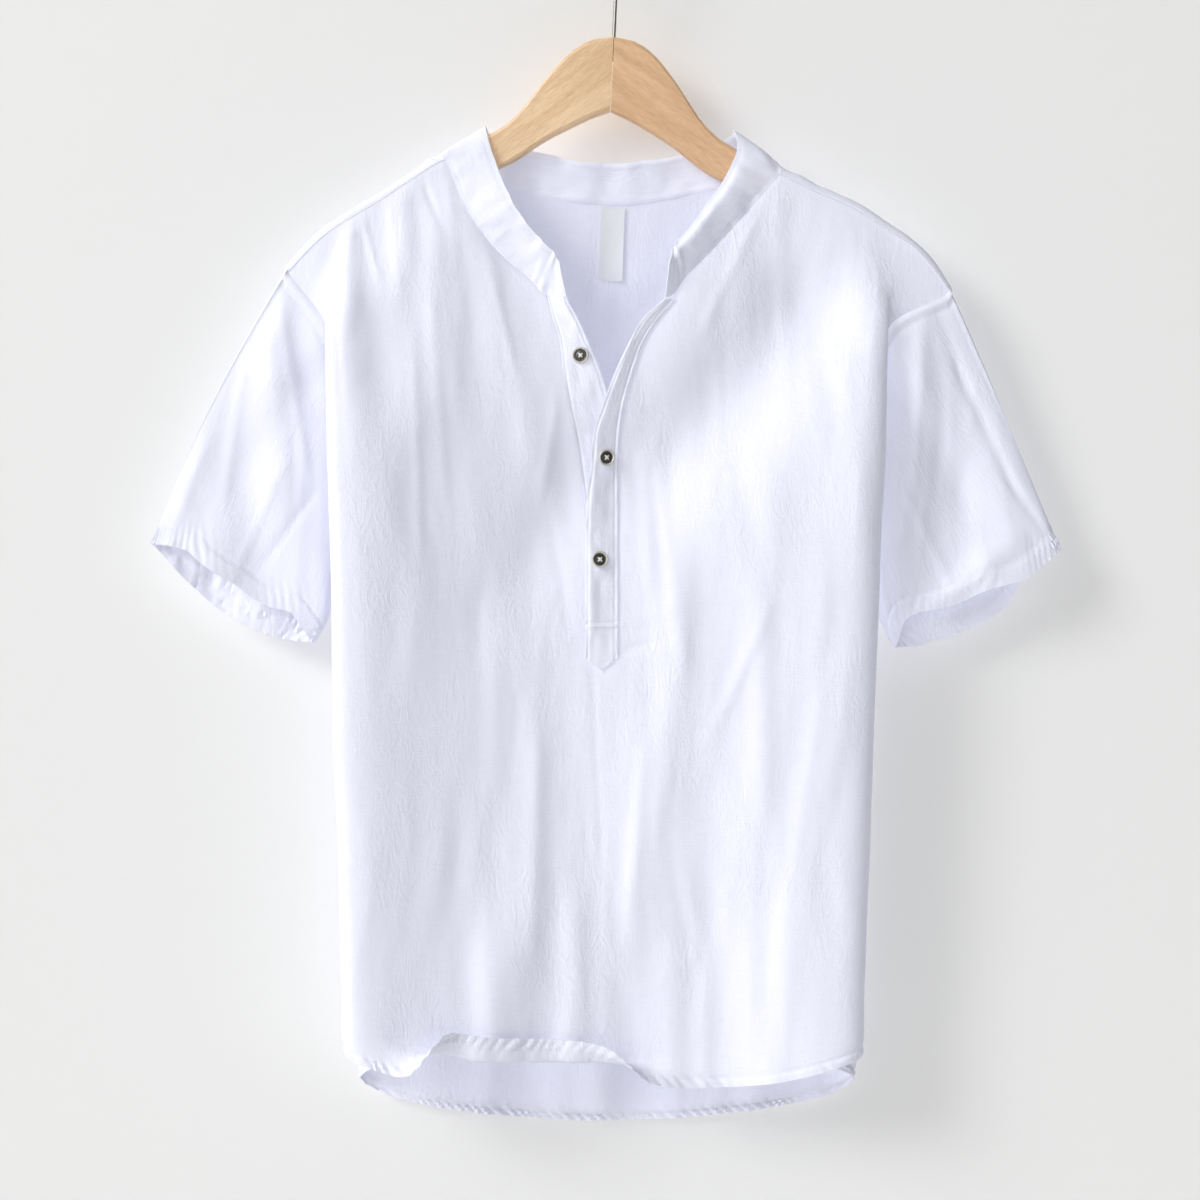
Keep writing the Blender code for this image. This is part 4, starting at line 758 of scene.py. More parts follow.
def back_panel(at_rows):
    """Grid of the back, from the left outer edge to the right one."""
    top = back_top().T
    lines = line_rows(LEFT_ROWS)
    grid = np.zeros((RIDGE_ROWS + len(at_rows), len(top), 3))
    share = np.linspace(0.0, 1.0, WRAP_COLUMNS + 1)
    even = np.linspace(0.0, 1.0, len(top) - 2 * WRAP_COLUMNS)
    for k in range(RIDGE_ROWS + 1):
        grid[k] = [over_and_down(*column_top, k / RIDGE_ROWS) for column_top in top]
    neck = grid[RIDGE_ROWS, WRAP_COLUMNS:-WRAP_COLUMNS]
    top_level = LEFT_ROWS[0][3] + (RIGHT_ROWS[0][3] - LEFT_ROWS[0][3]) * even
    for i, r in enumerate(at_rows[1:], 1):
        left, right = (
            (*(float(row_values(rows, number, r)) for number in (2, 3)), *outer_edge(rows, r))
            for rows in (LEFT_ROWS, RIGHT_ROWS)
        )
        level = left[1] + (right[1] - left[1]) * even
        drop = smooth(r / lines[ARMPIT_LINE])
        low = smooth((r - lines[FOOT_LINE]) / (lines[-1] - lines[FOOT_LINE]))
        x = left[0] + ROLL[-1] + (right[0] - left[0] - ROLL[-1] - ROLL[1]) * even
        x = neck[:, 0] + (x - neck[:, 0]) * drop
        z = level + (neck[:, 2] - top_level) * (1.0 - drop)
        z = z + low * (BACK_HEM + back_hem_rise(x) - LEFT_ROWS[-1][1])
        row = np.stack((x, back_depth(x, z), z), axis=-1)
        rounded = float(smooth(r / lines[1]))
        wraps = []
        for (fold_x, _, x, y, z), start in ((left, row[0]), (right, row[-1])):
            z = z + low * float(BACK_HEM + back_hem_rise(fold_x) - LEFT_ROWS[-1][1])
            wraps.append(wrap(start, fold_x, (x, -y, z), share, rounded))
        grid[RIDGE_ROWS + i] = np.concatenate((wraps[0][:0:-1], row, wraps[1][1:]))
    return grid


last_row = line_rows(LEFT_ROWS)[-1]
hem_rows = last_row - np.arange(5, 0, -1) * BACK_ROW
upper = body_rows[body_rows < hem_rows[0] - 0.02]
back_grid = back_panel(np.concatenate((upper, hem_rows, [last_row])))
back_grid[0, :, 2] += SEAM_GAP
back_grid[:, :, 0] += corner_tuck(back_grid[:, :, 0], back_grid[:, :, 2], *BACK_TUCK)
across, down = lengths(back_grid, 1), lengths(back_grid, 0)
from_side = np.minimum(across, across[:, -1:] - across)
from_foot = down[-1:] - down
calm = smooth(from_side / SEAM_CALM) * smooth(down / SEAM_CALM)
x, z = back_grid[:, :, 0], back_grid[:, :, 2]
relief = smooth(from_side / 0.004) * hem_relief(across, from_foot, HEM_BAND, 53, 2.5)
relief = relief + calm * washed_linen(x, z, 47)
back_grid += relief[:, :, None] * grid_normals(back_grid, -1)
back_normals = grid_normals(back_grid, -1)
back_cloth = cloth_piece("back_cloth", back_grid, back_normals, x, -down, white_linen)
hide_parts("back")
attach(back_cloth, "root")

# ==================================================================== sleeves
# Two short sleeves of the same linen, each one piece with a seam under the arm. They are sewn into the
# dropped armholes, hang empty and flat, and have a wide turned cuff.
# The cuff's front and back edges, from its outer corner to the inner one: x, height
LEFT_CUFF_FRONT = (
    (-0.3580, -0.4755), (-0.3450, -0.4770), (-0.3300, -0.4810), (-0.3220, -0.4880), (-0.3070, -0.4990),
    (-0.2930, -0.5070), (-0.2790, -0.5180), (-0.2680, -0.5235), (-0.2520, -0.5275), (-0.2430, -0.5380),
    (-0.2350, -0.5510),
)
LEFT_CUFF_BACK = (
    (-0.3580, -0.4755), (-0.3510, -0.4830), (-0.3400, -0.4960), (-0.3280, -0.5080), (-0.3080, -0.5260),
    (-0.2840, -0.5400), (-0.2560, -0.5490), (-0.2350, -0.5510),
)
RIGHT_CUFF_FRONT = (
    (0.3380, -0.4800), (0.3100, -0.5024), (0.2810, -0.5110), (0.2535, -0.5230), (0.2420, -0.5254),
    (0.2267, -0.5290), (0.2190, -0.5340), (0.2120, -0.5545),
)
RIGHT_CUFF_BACK = (
    (0.3380, -0.4800), (0.3100, -0.5024), (0.3010, -0.5200), (0.2918, -0.5285), (0.2780, -0.5370),
    (0.2610, -0.5446), (0.2420, -0.5500), (0.2244, -0.5545), (0.2120, -0.5545),
)
OUTER_BOW = {-1: 0.007, 1: 0.001}   # how far a sleeve's outer line swells
INNER_BOW = 0.009           # how far its inner line swells towards the body
CUFF_OPEN = 0.015           # half the depth of the open cuff
CUFF_BAND = 0.014           # width of the turned cuff
SLEEVE_FULL = 0.004         # how far its faces swell
SLEEVE_ROUND = 0.42         # length of cloth round a sleeve
SLEEVE_RINGS = 84
SLEEVE_FOLDS = (
    (-0.266, -0.265, -0.262, -0.420, 0.022, 0.0065),
    (-0.282, -0.415, -0.274, -0.500, 0.030, -0.0110),
    (-0.300, -0.360, -0.318, -0.450, 0.012, -0.0018),
    (0.262, -0.370, 0.258, -0.440, 0.028, -0.0060),
    (0.250, -0.440, 0.252, -0.520, 0.045, -0.0090),
    (0.246, -0.300, 0.310, -0.455, 0.010, -0.0020),
    (0.318, -0.400, 0.332, -0.470, 0.022, 0.0045),
    (0.270, -0.500, 0.222, -0.540, 0.010, 0.0030),
    (0.232, -0.340, 0.238, -0.440, 0.012, 0.0014),
)
SLEEVE_CREASES = (
    (-0.264, -0.275, -0.262, -0.345, 0.0140, 0.0040),
    (-0.232, -0.275, -0.226, -0.360, 0.0100, 0.0022),
    (0.244, -0.297, 0.262, -0.348, 0.0035, -0.0012),
    (0.262, -0.348, 0.300, -0.429, 0.0035, -0.0012),
    (0.300, -0.429, 0.318, -0.456, 0.0035, -0.0010),
    (0.232, -0.310, 0.226, -0.420, 0.0050, 0.0010),
    (0.225, -0.450, 0.250, -0.500, 0.0040, 0.0008),
    (-0.258, -0.290, -0.240, -0.410, 0.0040, 0.0012),
    (-0.239, -0.447, -0.266, -0.484, 0.0035, -0.0012),
    (-0.285, -0.330, -0.300, -0.430, 0.0050, 0.0010),
    (-0.320, -0.410, -0.338, -0.458, 0.0050, 0.0010),
    (-0.262, -0.430, -0.290, -0.490, 0.0040, 0.0010),
)


def armhole_loop(front_edge, back_edge):
    """The armhole from the shoulder down the front to the armpit and up the back."""
    return np.concatenate((front_edge, back_edge[-2:0:-1]))


def sleeve(armhole, front_cuff, back_cuff):
    """Rings from the armhole's loop to the cuff, and how far round each point is."""
    side = 1 if front_cuff[0][0] > 0.0 else -1
    count = len(armhole)
    lowest = count // 2
    steps = np.linalg.norm(np.diff(np.concatenate((armhole, armhole[:1])), axis=0), axis=1)
    front = np.concatenate(([0.0], np.cumsum(steps[:lowest]))) / steps[:lowest].sum()
    back = np.cumsum(steps[lowest:])[:-1] / steps[lowest:].sum()
    around = np.pi * np.concatenate((front, 1.0 + back))
    reach, turned = np.cos(around), np.sin(around)
    x = front_cuff[0][0] + (front_cuff[-1][0] - front_cuff[0][0]) * (1.0 - reach) / 2.0
    front_z, back_z = (from_table(edge, 1, x) for edge in (front_cuff, back_cuff))
    opened = 0.4 + 0.6 * smooth((1.0 - reach) / 0.9)
    cuff = np.stack((x, -CUFF_OPEN * turned * opened, np.where(turned > 0.0, front_z, back_z)), axis=-1)
    rings = np.zeros((SLEEVE_RINGS + 1, count, 3))
    for ring in range(SLEEVE_RINGS + 1):
        share = ring / SLEEVE_RINGS
        points = armhole + (cuff - armhole) * share
        belly = math.sin(math.pi * share)
        points[:, 0] += side * OUTER_BOW[side] * belly * np.maximum(reach, 0.0)
        points[:, 0] -= side * INNER_BOW * math.sin(math.pi * share**2.5) * np.maximum(-reach, 0.0) ** 2
        points[:, 1] -= SLEEVE_FULL * belly * turned
        lift = folds(SLEEVE_FOLDS, points[:, 0], points[:, 2])
        points[:, 1] -= lift * turned * smooth(share * 4.0)
        rings[ring] = points
    return rings, around


armpit_row = len(fine_rows(0, ARMPIT_LINE)) - 1
sleeve_rings = {}
for name, front_cuff, back_cuff, edge, facing, seed in (
    ("left", LEFT_CUFF_FRONT, LEFT_CUFF_BACK, 0, 1, 61), ("right", RIGHT_CUFF_FRONT, RIGHT_CUFF_BACK, -1, -1, 71),
):
    front_edge = front_grid[: armpit_row + 1, edge]
    back_edge = back_grid[: armpit_row + RIDGE_ROWS + 1, edge]
    rings, around = sleeve(armhole_loop(front_edge, back_edge), front_cuff, back_cuff)
    down = lengths(rings, 0)
    round_cloth = np.tile(np.linspace(0.0, 1.0, rings.shape[1], endpoint=False), (len(rings), 1)) * SLEEVE_ROUND
    from_cuff = down[-1:] - down
    turned = np.sin(around)
    on_front = turned > 0.0
    relief = washed_linen(rings[:, :, 0] + 0.5 * rings[:, :, 1], rings[:, :, 2], seed)
    relief = relief + on_front * folds(SLEEVE_CREASES, rings[:, :, 0], rings[:, :, 2], 0.015)
    relief = relief * smooth(np.abs(turned) / 0.35) * smooth(down / SEAM_CALM)
    seam_line = 0.0012 * hump(down - 0.004, 0.0026) - 0.0006 * hump(down - 0.009, 0.0022)
    relief = relief + seam_line + hem_relief(round_cloth, from_cuff, CUFF_BAND, seed + 9, 1.3)
    if name == "left":
        gathers = np.sin(2.0 * np.pi * (round_cloth / 0.0062 + 1.6 * crumple(round_cloth, down, 0.014, 0.016, 66)))
        gathers = 0.6 * gathers + 0.9 * crumple(round_cloth, down, 0.0048, 0.0085, 67)
        relief = relief + 0.0013 * gathers * hump(from_cuff - CUFF_BAND, 0.018) * smooth(-turned / 0.25)
        corner = hump(rings[:, :, 0] + 0.345, 0.022) * hump(rings[:, :, 2] + 0.486, 0.018)
        relief = relief + 0.0022 * corner * crumple(rings[:, :, 0], rings[:, :, 2], 0.009, 0.007, 68)
    rings += relief[:, :, None] * grid_normals(rings, facing, ring=True)
    rings[0] = armhole_loop(front_edge, back_edge)
    sleeve_rings[name] = rings
    normals = grid_normals(rings, facing, ring=True)
    made = cloth_piece(f"sleeve_cloth_{name}", rings, normals, round_cloth, -down, white_linen, ring=True)
    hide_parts(f"sleeve_{name}")
    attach(made, "root")

# ==================================================================== collar
# A stand collar: one band of linen doubled over a thin lining, topstitched along both edges. It is sewn
# round the neckline, stands a little away from the neck and ends at the V opening.
COLLAR_THICKNESS = 0.0013
COLLAR_ROWS = 22
COLLAR_CURL = 0.006         # how far the right half's free edge has curled back
COLLAR_TOP_STITCH, COLLAR_FOOT_STITCH = 0.0028, 0.0022      # the topstitching's distance from each edge


def seam_point(turn, x, z):
    """The collar seam's point on the front face, on the ridge or on the back face."""
    if turn <= 0.0:
        return np.array((x, float(front_depth(x, z)), z))
    if turn >= 2.0:
        return np.array((x, float(back_depth(x, z)), z))
    return on_ridge(x, turn * math.pi / 2.0)


turn, seam_x, seam_z, seam_lift, edge_x, edge_z, lift = collar_stations(0, len(COLLAR) - 1)
seam = np.array([seam_point(*values) for values in zip(turn, seam_x, seam_z)])
around = np.clip(turn, 0.0, 2.0) * np.pi / 2.0
seam[:, 1] -= seam_lift
free_edge = np.stack((edge_x, seam[:, 1] - lift * np.cos(around), edge_z), axis=-1)
round_neck = lengths(seam[None], 1)[0]
uneven = 0.030 * waver(round_neck, 0.013, 87) + 0.010 * waver(round_neck, 0.006, 88)
for _ in range(30):
    free_edge[1:-1] = (free_edge[:-2] + 2.0 * free_edge[1:-1] + free_edge[2:]) / 4.0
free_edge = free_edge + (free_edge - seam) * uneven[:, None]
share = np.linspace(0.0, 1.0, COLLAR_ROWS + 1)[:, None, None]
collar_grid = seam + (free_edge - seam) * share
round_share = np.linspace(0.0, 1.0, len(seam))
on_right = smooth((round_share - 0.72) / 0.08) * smooth((1.0 - round_share) / 0.12)
collar_grid[:, :, 1] += COLLAR_CURL * on_right * smooth((share[:, :, 0] - 0.62) / 0.38) ** 2
collar_round = np.tile(lengths(seam[None], 1), (COLLAR_ROWS + 1, 1))
collar_up = lengths(collar_grid, 0)
collar_height = collar_up[-1:]
from_end = np.minimum(collar_round, collar_round[:, -1:] - collar_round)
puckers = np.sin(2.0 * np.pi * (collar_round / 0.0085 + 0.9 * crumple(collar_round, collar_up, 0.03, 0.05, 83)))
relief = 0.0008 * np.sin(np.pi * collar_up / collar_height)
relief = relief + 0.0011 * crumple(collar_round, collar_up, 0.014, 0.022, 85)
relief = relief + 0.0008 * crumple(collar_round, collar_up, 0.0055, 0.014, 86)
relief = relief + 0.0006 * puckers * hump(collar_up, 0.009)
relief = relief - 0.0005 * hump(collar_height - collar_up - COLLAR_TOP_STITCH, 0.0011)
relief = relief - 0.0005 * hump(collar_up - COLLAR_FOOT_STITCH, 0.0011)
relief = relief * (0.3 + 0.7 * smooth(collar_up / 0.004)) * (0.12 + 0.88 * smooth(from_end / 0.030))
collar_grid = collar_grid + relief[:, :, None] * grid_normals(collar_grid, 1)
rounding = np.minimum(np.minimum(collar_height - collar_up, from_end), COLLAR_THICKNESS) / COLLAR_THICKNESS
collar_normals = grid_normals(collar_grid, 1)
collar_thickness = COLLAR_THICKNESS * (0.55 + 0.45 * np.sqrt(rounding))
collar_grid = collar_grid - (0.5 * (COLLAR_THICKNESS - collar_thickness))[:, :, None] * collar_normals
collar_cloth = cloth_piece(
    "collar_cloth", collar_grid, collar_normals, collar_up, collar_round, white_linen, collar_thickness,
)
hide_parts("collar_band")
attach(collar_cloth, "root")

# ==================================================================== placket strips
# Two folded strips of linen finish the opening. The lower one lies in the cut and carries the top button,
# the upper one laps over it, is topstitched all round and ends in a stitched box with a point.
# height, left edge, right edge, how far the free edge stands off the front
UNDER_STRIP = (
    (-0.2892, -0.0547, -0.0390, 0.008), (-0.3010, -0.0517, -0.0330, 0.007), (-0.3210, -0.0457, -0.0240, 0.005),
    (-0.3470, -0.0427, -0.0135, 0.003), (-0.3710, -0.0387, -0.0075, 0.001), (-0.4000, -0.0327, -0.0050, 0.000),
    (-0.4430, -0.0267, -0.0043, 0.000), (-0.4700, -0.0237, -0.0043, 0.000), (-0.5555, -0.0237, -0.0043, 0.000),
)
OVER_STRIP = (
    (-0.2905, 0.0340, 0.0425, 0.0040), (-0.3050, 0.0180, 0.0300, 0.0046), (-0.3240, 0.0070, 0.0180, 0.0050),
    (-0.3500, -0.0050, 0.0090, 0.0048), (-0.3720, -0.0130, 0.0030, 0.0044), (-0.3930, -0.0200, 0.0000, 0.0040),
    (-0.4180, -0.0220, -0.0010, 0.0046), (-0.4420, -0.0250, -0.0010, 0.0046), (-0.4840, -0.0260, -0.0010, 0.0046),
    (-0.5300, -0.0260, -0.0010, 0.0040), (-0.5620, -0.0260, -0.0010, 0.0016),
)
STRIP_COLUMNS = 36
STRIP_THICKNESS = 0.0012
OVER_LAYER = 0.0021         # how far the upper strip lies off the front's face
POINT_DROP = 0.010
BOX_TOP = -0.5385           # top of the stitched box
STRIP_STITCH = 0.0022       # how far the groove of its topstitching is from a strip's edge


def strip_rows(table, layer, side, heights):
    """Grid of a placket strip at rows of heights; side is its free edge's."""
    across = np.linspace(0.0, 1.0, STRIP_COLUMNS + 1)
    left, right, lift = (from_table(table, n, heights[:, 0])[:, None] for n in (1, 2, 3))
    x = left + (right - left) * across
    to_free_edge = across if side > 0 else 1.0 - across
    y = front_depth(x, heights) - layer - lift * to_free_edge**1.3
    y = y + 0.30 * lift * smooth((to_free_edge - 0.74) / 0.26) ** 2
    return np.stack((x, y, heights + 0.0 * x), axis=-1)


def facing_front(grid):
    """Normals that all point at the viewer."""
    return np.broadcast_to(np.array((0.0, -1.0, 0.0)), grid.shape)


def strip_cloth(name, grid, node, seed, box_top=None):
    """A placket strip's cloth over its grid, and the grid as crumpled; box_top is its stitched box's."""
    across, down = lengths(grid, 1), lengths(grid, 0)
    inset = np.minimum(across, across[:, -1:] - across)
    relief = 0.00055 * crumple(across, down, 0.006, 0.011, seed) + 0.0004 * crumple(across, down, 0.02, 0.03, seed + 1)
    relief = relief - 0.0005 * hump(inset - STRIP_STITCH, 0.0010)
    if box_top is not None:
        above_box = grid[:, :, 2] - box_top
        relief = relief + 0.0010 * hump(above_box, 0.0012) - 0.0008 * hump(above_box - 0.0026, 0.0012)
    thickness = STRIP_THICKNESS * (0.5 + 0.5 * np.sqrt(np.minimum(inset, STRIP_THICKNESS) / STRIP_THICKNESS))
    forward = relief * smooth(inset / 0.0025) - 0.5 * (STRIP_THICKNESS - thickness)
    normals = facing_front(grid)
    grid = grid + forward[:, :, None] * normals
    made = cloth_piece(name, grid, normals, across, -down, white_linen, thickness)
    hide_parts(node)
    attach(made, "root")
    return made, grid


under_heights = np.linspace(UNDER_STRIP[0][0], UNDER_STRIP[-1][0], 100)[:, None] * np.ones(STRIP_COLUMNS + 1)
at_collar = 1.0 - smooth((UNDER_STRIP[0][0] - under_heights) / 0.02)
under_heights = under_heights + at_collar * np.linspace(0.0042, 0.0018, STRIP_COLUMNS + 1)
under_grid = strip_rows(UNDER_STRIP, 0.0, 1, under_heights)
under_cloth, under_grid = strip_cloth("placket_cloth_under", under_grid, "placket_under", 91)
level = np.linspace(OVER_STRIP[0][0], OVER_STRIP[-1][0] + 0.008, 300)[:, None] * np.ones(STRIP_COLUMNS + 1)
pointed = OVER_STRIP[-1][0] - POINT_DROP * (1.0 - np.abs(np.linspace(-1.0, 1.0, STRIP_COLUMNS + 1)))
tail = level[-1] + (pointed - level[-1]) * np.linspace(0.0, 1.0, 21)[1:, None]
over_grid = strip_rows(OVER_STRIP, OVER_LAYER, -1, np.concatenate((level, tail)))
over_cloth, over_grid = strip_cloth("placket_cloth_over", over_grid, "placket_over", 95, BOX_TOP)

# ==================================================================== buttons
# Three small shell buttons with a pale rim, a dark ring and a pale four-hole middle, turned, and sewn on
# with crossed thread. The top one sits on the lower strip, the other two on the upper.
BUTTONS = (("top", -0.0290, -0.3330, False), ("middle", -0.0100, -0.4100, True), ("bottom", -0.0150, -0.4880, True))
BUTTON_RADIUS = 0.0064
BUTTON_HOLE = 0.0007
BUTTON_HOLE_PITCH = 0.0012
STRAND_PITCH = 0.00030      # distance between the strands of a button's thread
STRAND_RADIUS = 0.00021
# radius and height of the turned profile, and which finish the band up to it has: 0 pale, 1 dark
BUTTON_PROFILE = (
    (0.0000, 0.0016, 0), (0.0014, 0.0017, 0), (0.0026, 0.0016, 1), (0.0030, 0.0014, 1), (0.0034, 0.0013, 1),
    (0.0044, 0.0013, 1), (0.0048, 0.0016, 1), (0.0051, 0.0022, 0), (0.0055, 0.0026, 0), (0.0059, 0.0026, 0),
    (0.0063, 0.0022, 0), (0.0064, 0.0017, 0), (0.0063, 0.0008, 0), (0.0056, 0.0001, 0), (0.0000, 0.0000, 0),
)
BUTTON_SIDES = 48


def clouded(name, colours, ends, gloss, scale, detail, distortion, **surface):
    """A hard surface that is clouded between two colours and two roughnesses."""
    made, add, join, shader, _ = new_material(name, **surface)
    where = add("ShaderNodeTexCoord")
    cloud = add("ShaderNodeTexNoise", Scale=scale, Detail=detail, Distortion=distortion)
    ramp = colour_ramp(add, colours, ends)
    dull = add("ShaderNodeMapRange", To_Min=gloss[0], To_Max=gloss[1])
    join(
        (where, "Object", cloud, "Vector"), (cloud, "Fac", ramp, "Fac"), (cloud, "Fac", dull, "Value"),
        (dull, "Result", shader, "Roughness"), (ramp, "Color", shader, "Base Color"),
    )
    return made


def shell(name, colours, roughness):
    """Polished shell or horn."""
    return clouded(
        name, colours, (0.35, 0.68), (roughness, roughness + 0.15), 420.0, 4.0, 1.2,
        Coat_Weight=0.3, Coat_Roughness=0.15,
    )


def strip_depth(grid, x, z):
    """y of a strip's outer face at x and height z."""
    heights = grid[:, 0, 2]
    below = int(np.clip(np.searchsorted(-heights, -z), 1, len(heights) - 1))
    share = (z - heights[below - 1]) / (heights[below] - heights[below - 1])
    row = grid[below - 1] + (grid[below] - grid[below - 1]) * share
    return float(np.interp(x, row[:, 0], row[:, 1]))


def solid_of(name, shape, *finishes):
    """A new object of closed faces, turned outwards."""
    bmesh.ops.recalc_face_normals(shape, faces=shape.faces)
    mesh = bpy.data.meshes.new(name)
    shape.to_mesh(mesh)
    shape.free()
    for finish in finishes:
        mesh.materials.append(finish)
    return put(name, mesh)


def settle(made):
    """Keep what an object's modifiers make of it as its plain mesh."""
    mesh = bpy.data.meshes.new_from_object(made.evaluated_get(bpy.context.evaluated_depsgraph_get()))
    made.modifiers.clear()
    made.data = mesh


def circle(radius, count):
    return [(radius * math.cos(a), radius * math.sin(a)) for a in np.arange(count) * 2.0 * math.pi / count]


def turned_button(name, place):
    """Rings of the profile round the button's middle, with four holes cut through."""
    shape = bmesh.new()
    rings = [
        [shape.verts.new((*point, height)) for point in circle(radius, BUTTON_SIDES if radius else 1)]
        for radius, height, _ in BUTTON_PROFILE
    ]
    for upper, lower, (_, _, dark) in zip(rings, rings[1:], BUTTON_PROFILE[1:]):
        for i in range(BUTTON_SIDES):
            j = (i + 1) % BUTTON_SIDES
            corners = upper[i % len(upper)], lower[i % len(lower)], lower[j % len(lower)], upper[j % len(upper)]
            face = shape.faces.new(tuple(dict.fromkeys(corners)))
            face.material_index = dark
            face.smooth = True
    made = solid_of(name, shape, pale_shell, dark_horn)
    rods = bmesh.new()
    for across in (-BUTTON_HOLE_PITCH, BUTTON_HOLE_PITCH):
        for up in (-BUTTON_HOLE_PITCH, BUTTON_HOLE_PITCH):
            bmesh.ops.create_cone(
                rods, cap_ends=True, segments=16, radius1=BUTTON_HOLE, radius2=BUTTON_HOLE, depth=0.01,
                matrix=Matrix.Translation((across, up, 0.001)),
            )
    cutter = solid_of("holes", rods)
    cut = made.modifiers.new("holes", "BOOLEAN")
    cut.object = cutter
    cut.solver = "EXACT"
    settle(made)
    bpy.data.objects.remove(cutter, do_unlink=True)
    made.data.transform(place)
    made.data.update()
    made.data.set_sharp_from_angle(angle=math.radians(40))
    return made


def crossed_thread(name, place, finish):
    """Two crossed bars of thread, three strands each, over the holes and down into them."""
    shape = bmesh.new()
    for turn, top in ((1.0, 0.00215), (-1.0, 0.00245)):
        route = [
            Vector((BUTTON_HOLE_PITCH * out, BUTTON_HOLE_PITCH * out * turn, height)) for out, height in
            ((-1.0, 0.0012), (-0.95, 0.0020), (-0.6, top), (0.6, top), (0.95, 0.0020), (1.0, 0.0012))
        ]
        for strand in (-STRAND_PITCH, 0.0, STRAND_PITCH):
            beside = Vector((turn, -1.0, 0.0)).normalized() * strand
            loops = []
            for point, before, after in zip(route, route[:1] + route, route[1:] + route[-1:]):
                lie = (after - before).to_track_quat("Z", "Y").to_matrix()
                around = [lie @ Vector((*corner, 0.0)) for corner in circle(STRAND_RADIUS, 6)]
                loops.append([shape.verts.new(point + beside + corner) for corner in around])
            for near, far in zip(loops, loops[1:]):
                for i in range(6):
                    shape.faces.new((near[i], near[(i + 1) % 6], far[(i + 1) % 6], far[i]))
            shape.faces.new(loops[0])
            shape.faces.new(loops[-1])
    made = solid_of(name, shape, finish)
    made.data.transform(place)
    made.data.shade_smooth()
    return made


def spun_thread(name, colour):
    """Sewing thread with a fine twist."""
    made, add, join, shader, _ = new_material(name, Base_Color=(*colour, 1.0), Roughness=0.7)
    where = add("ShaderNodeTexCoord")
    twist = add("ShaderNodeTexWave", Scale=900.0)
    twist.bands_direction = "DIAGONAL"
    bump = add("ShaderNodeBump", Strength=0.4, Distance=0.0001)
    join((where, "Object", twist, "Vector"), (twist, "Fac", bump, "Height"), (bump, "Normal", shader, "Normal"))
    return made


pale_shell = shell("pale_shell", ((0.62, 0.60, 0.56), (0.42, 0.39, 0.35)), 0.25)
dark_horn = shell("dark_horn", ((0.020, 0.018, 0.016), (0.055, 0.045, 0.036)), 0.30)
button_thread = spun_thread("button_thread", (0.80, 0.79, 0.77))
for name, x, z, upper in BUTTONS:
    grid = over_grid if upper else under_grid
    reach = BUTTON_RADIUS * 0.8
    tilt_x = (strip_depth(grid, x + reach, z) - strip_depth(grid, x - reach, z)) / (2.0 * reach)
    tilt_z = (strip_depth(grid, x, z + reach) - strip_depth(grid, x, z - reach)) / (2.0 * reach)
    middle = Vector((x, strip_depth(grid, x, z), z))
    normal = Vector((tilt_x, -1.0, tilt_z)).normalized()
    proud = 0.0
    for right, up in circle(BUTTON_RADIUS / 2.0, 16) + circle(BUTTON_RADIUS, 16):
        under = Vector((x + right, strip_depth(grid, x + right, z + up), z + up))
        proud = max(proud, (under - middle).dot(normal))
    turn = normal.to_track_quat("Z", "Y").to_matrix().to_4x4()
    place = Matrix.Translation(middle + normal * (proud + 0.0001)) @ turn
    button = turned_button(f"shell_button_{name}", place)
    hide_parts(f"button_{name}")
    thread = crossed_thread(f"button_thread_{name}", place, button_thread)
    for piece in (button, thread):
        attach(piece, "root")

# ==================================================================== neck label
# A small woven ribbon label, hanging from the collar seam inside the back of the neck. It is left bare.
LABEL_MIDDLE = -0.0045
LABEL_TOP = -0.2165
LABEL_WIDTH = 0.018
LABEL_LENGTH = 0.055
LABEL_THICKNESS = 0.0005
LABEL_LEAN = math.radians(-2)
LABEL_SPANS, LABEL_COLUMNS = 44, 16
RIB_PITCH = 0.0004


def ribbon(name, colour, shade):
    """Smooth woven ribbon with fine cross ribs, the grooves between them painted darker as painted shade."""
    made, add, join, shader, _ = new_material(name, Sheen_Weight=0.2, Roughness=0.55)
    where = add("ShaderNodeUVMap")
    where.uv_map = "cloth"
    ribs = add("ShaderNodeTexWave", Scale=WAVES_PER_METRE / RIB_PITCH, Distortion=0.4)
    ribs.bands_direction = "Y"
    # painted shade: the ramp darkens the ribbon where its ribs are low, in the grooves
    ramp = colour_ramp(add, (shade, colour))
    bump = add("ShaderNodeBump", Strength=0.3, Distance=0.0001)
    join(
        (where, "UV", ribs, "Vector"), (ribs, "Fac", ramp, "Fac"), (ramp, "Color", shader, "Base Color"),
        (ribs, "Fac", bump, "Height"), (bump, "Normal", shader, "Normal"),
    )
    return made


across = np.linspace(-0.5, 0.5, LABEL_COLUMNS + 1)[None, :] * LABEL_WIDTH
down = np.linspace(0.0, 1.0, LABEL_SPANS + 1)[:, None] * LABEL_LENGTH
x = LABEL_MIDDLE + across * math.cos(LABEL_LEAN) + down * math.sin(LABEL_LEAN)
z = LABEL_TOP + across * math.sin(LABEL_LEAN) - down * math.cos(LABEL_LEAN)
off = 0.0021 + 0.0006 * smooth(down / LABEL_LENGTH) + 0.0004 * (across / LABEL_WIDTH * 2.0) ** 2
off = off + 0.0002 * crumple(across + 0.0 * down, down + 0.0 * across, 0.012, 0.02, 101)
label_grid = np.stack((x, back_depth(x, z) - off, z), axis=-1)
label_ribbon = ribbon("label_ribbon", (0.83, 0.84, 0.87), (0.72, 0.73, 0.77))
neck_label = cloth_piece(
    "ribbon_label", label_grid, facing_front(label_grid), across, -down, label_ribbon, LABEL_THICKNESS,
)
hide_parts("neck_label")
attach(neck_label, "root")
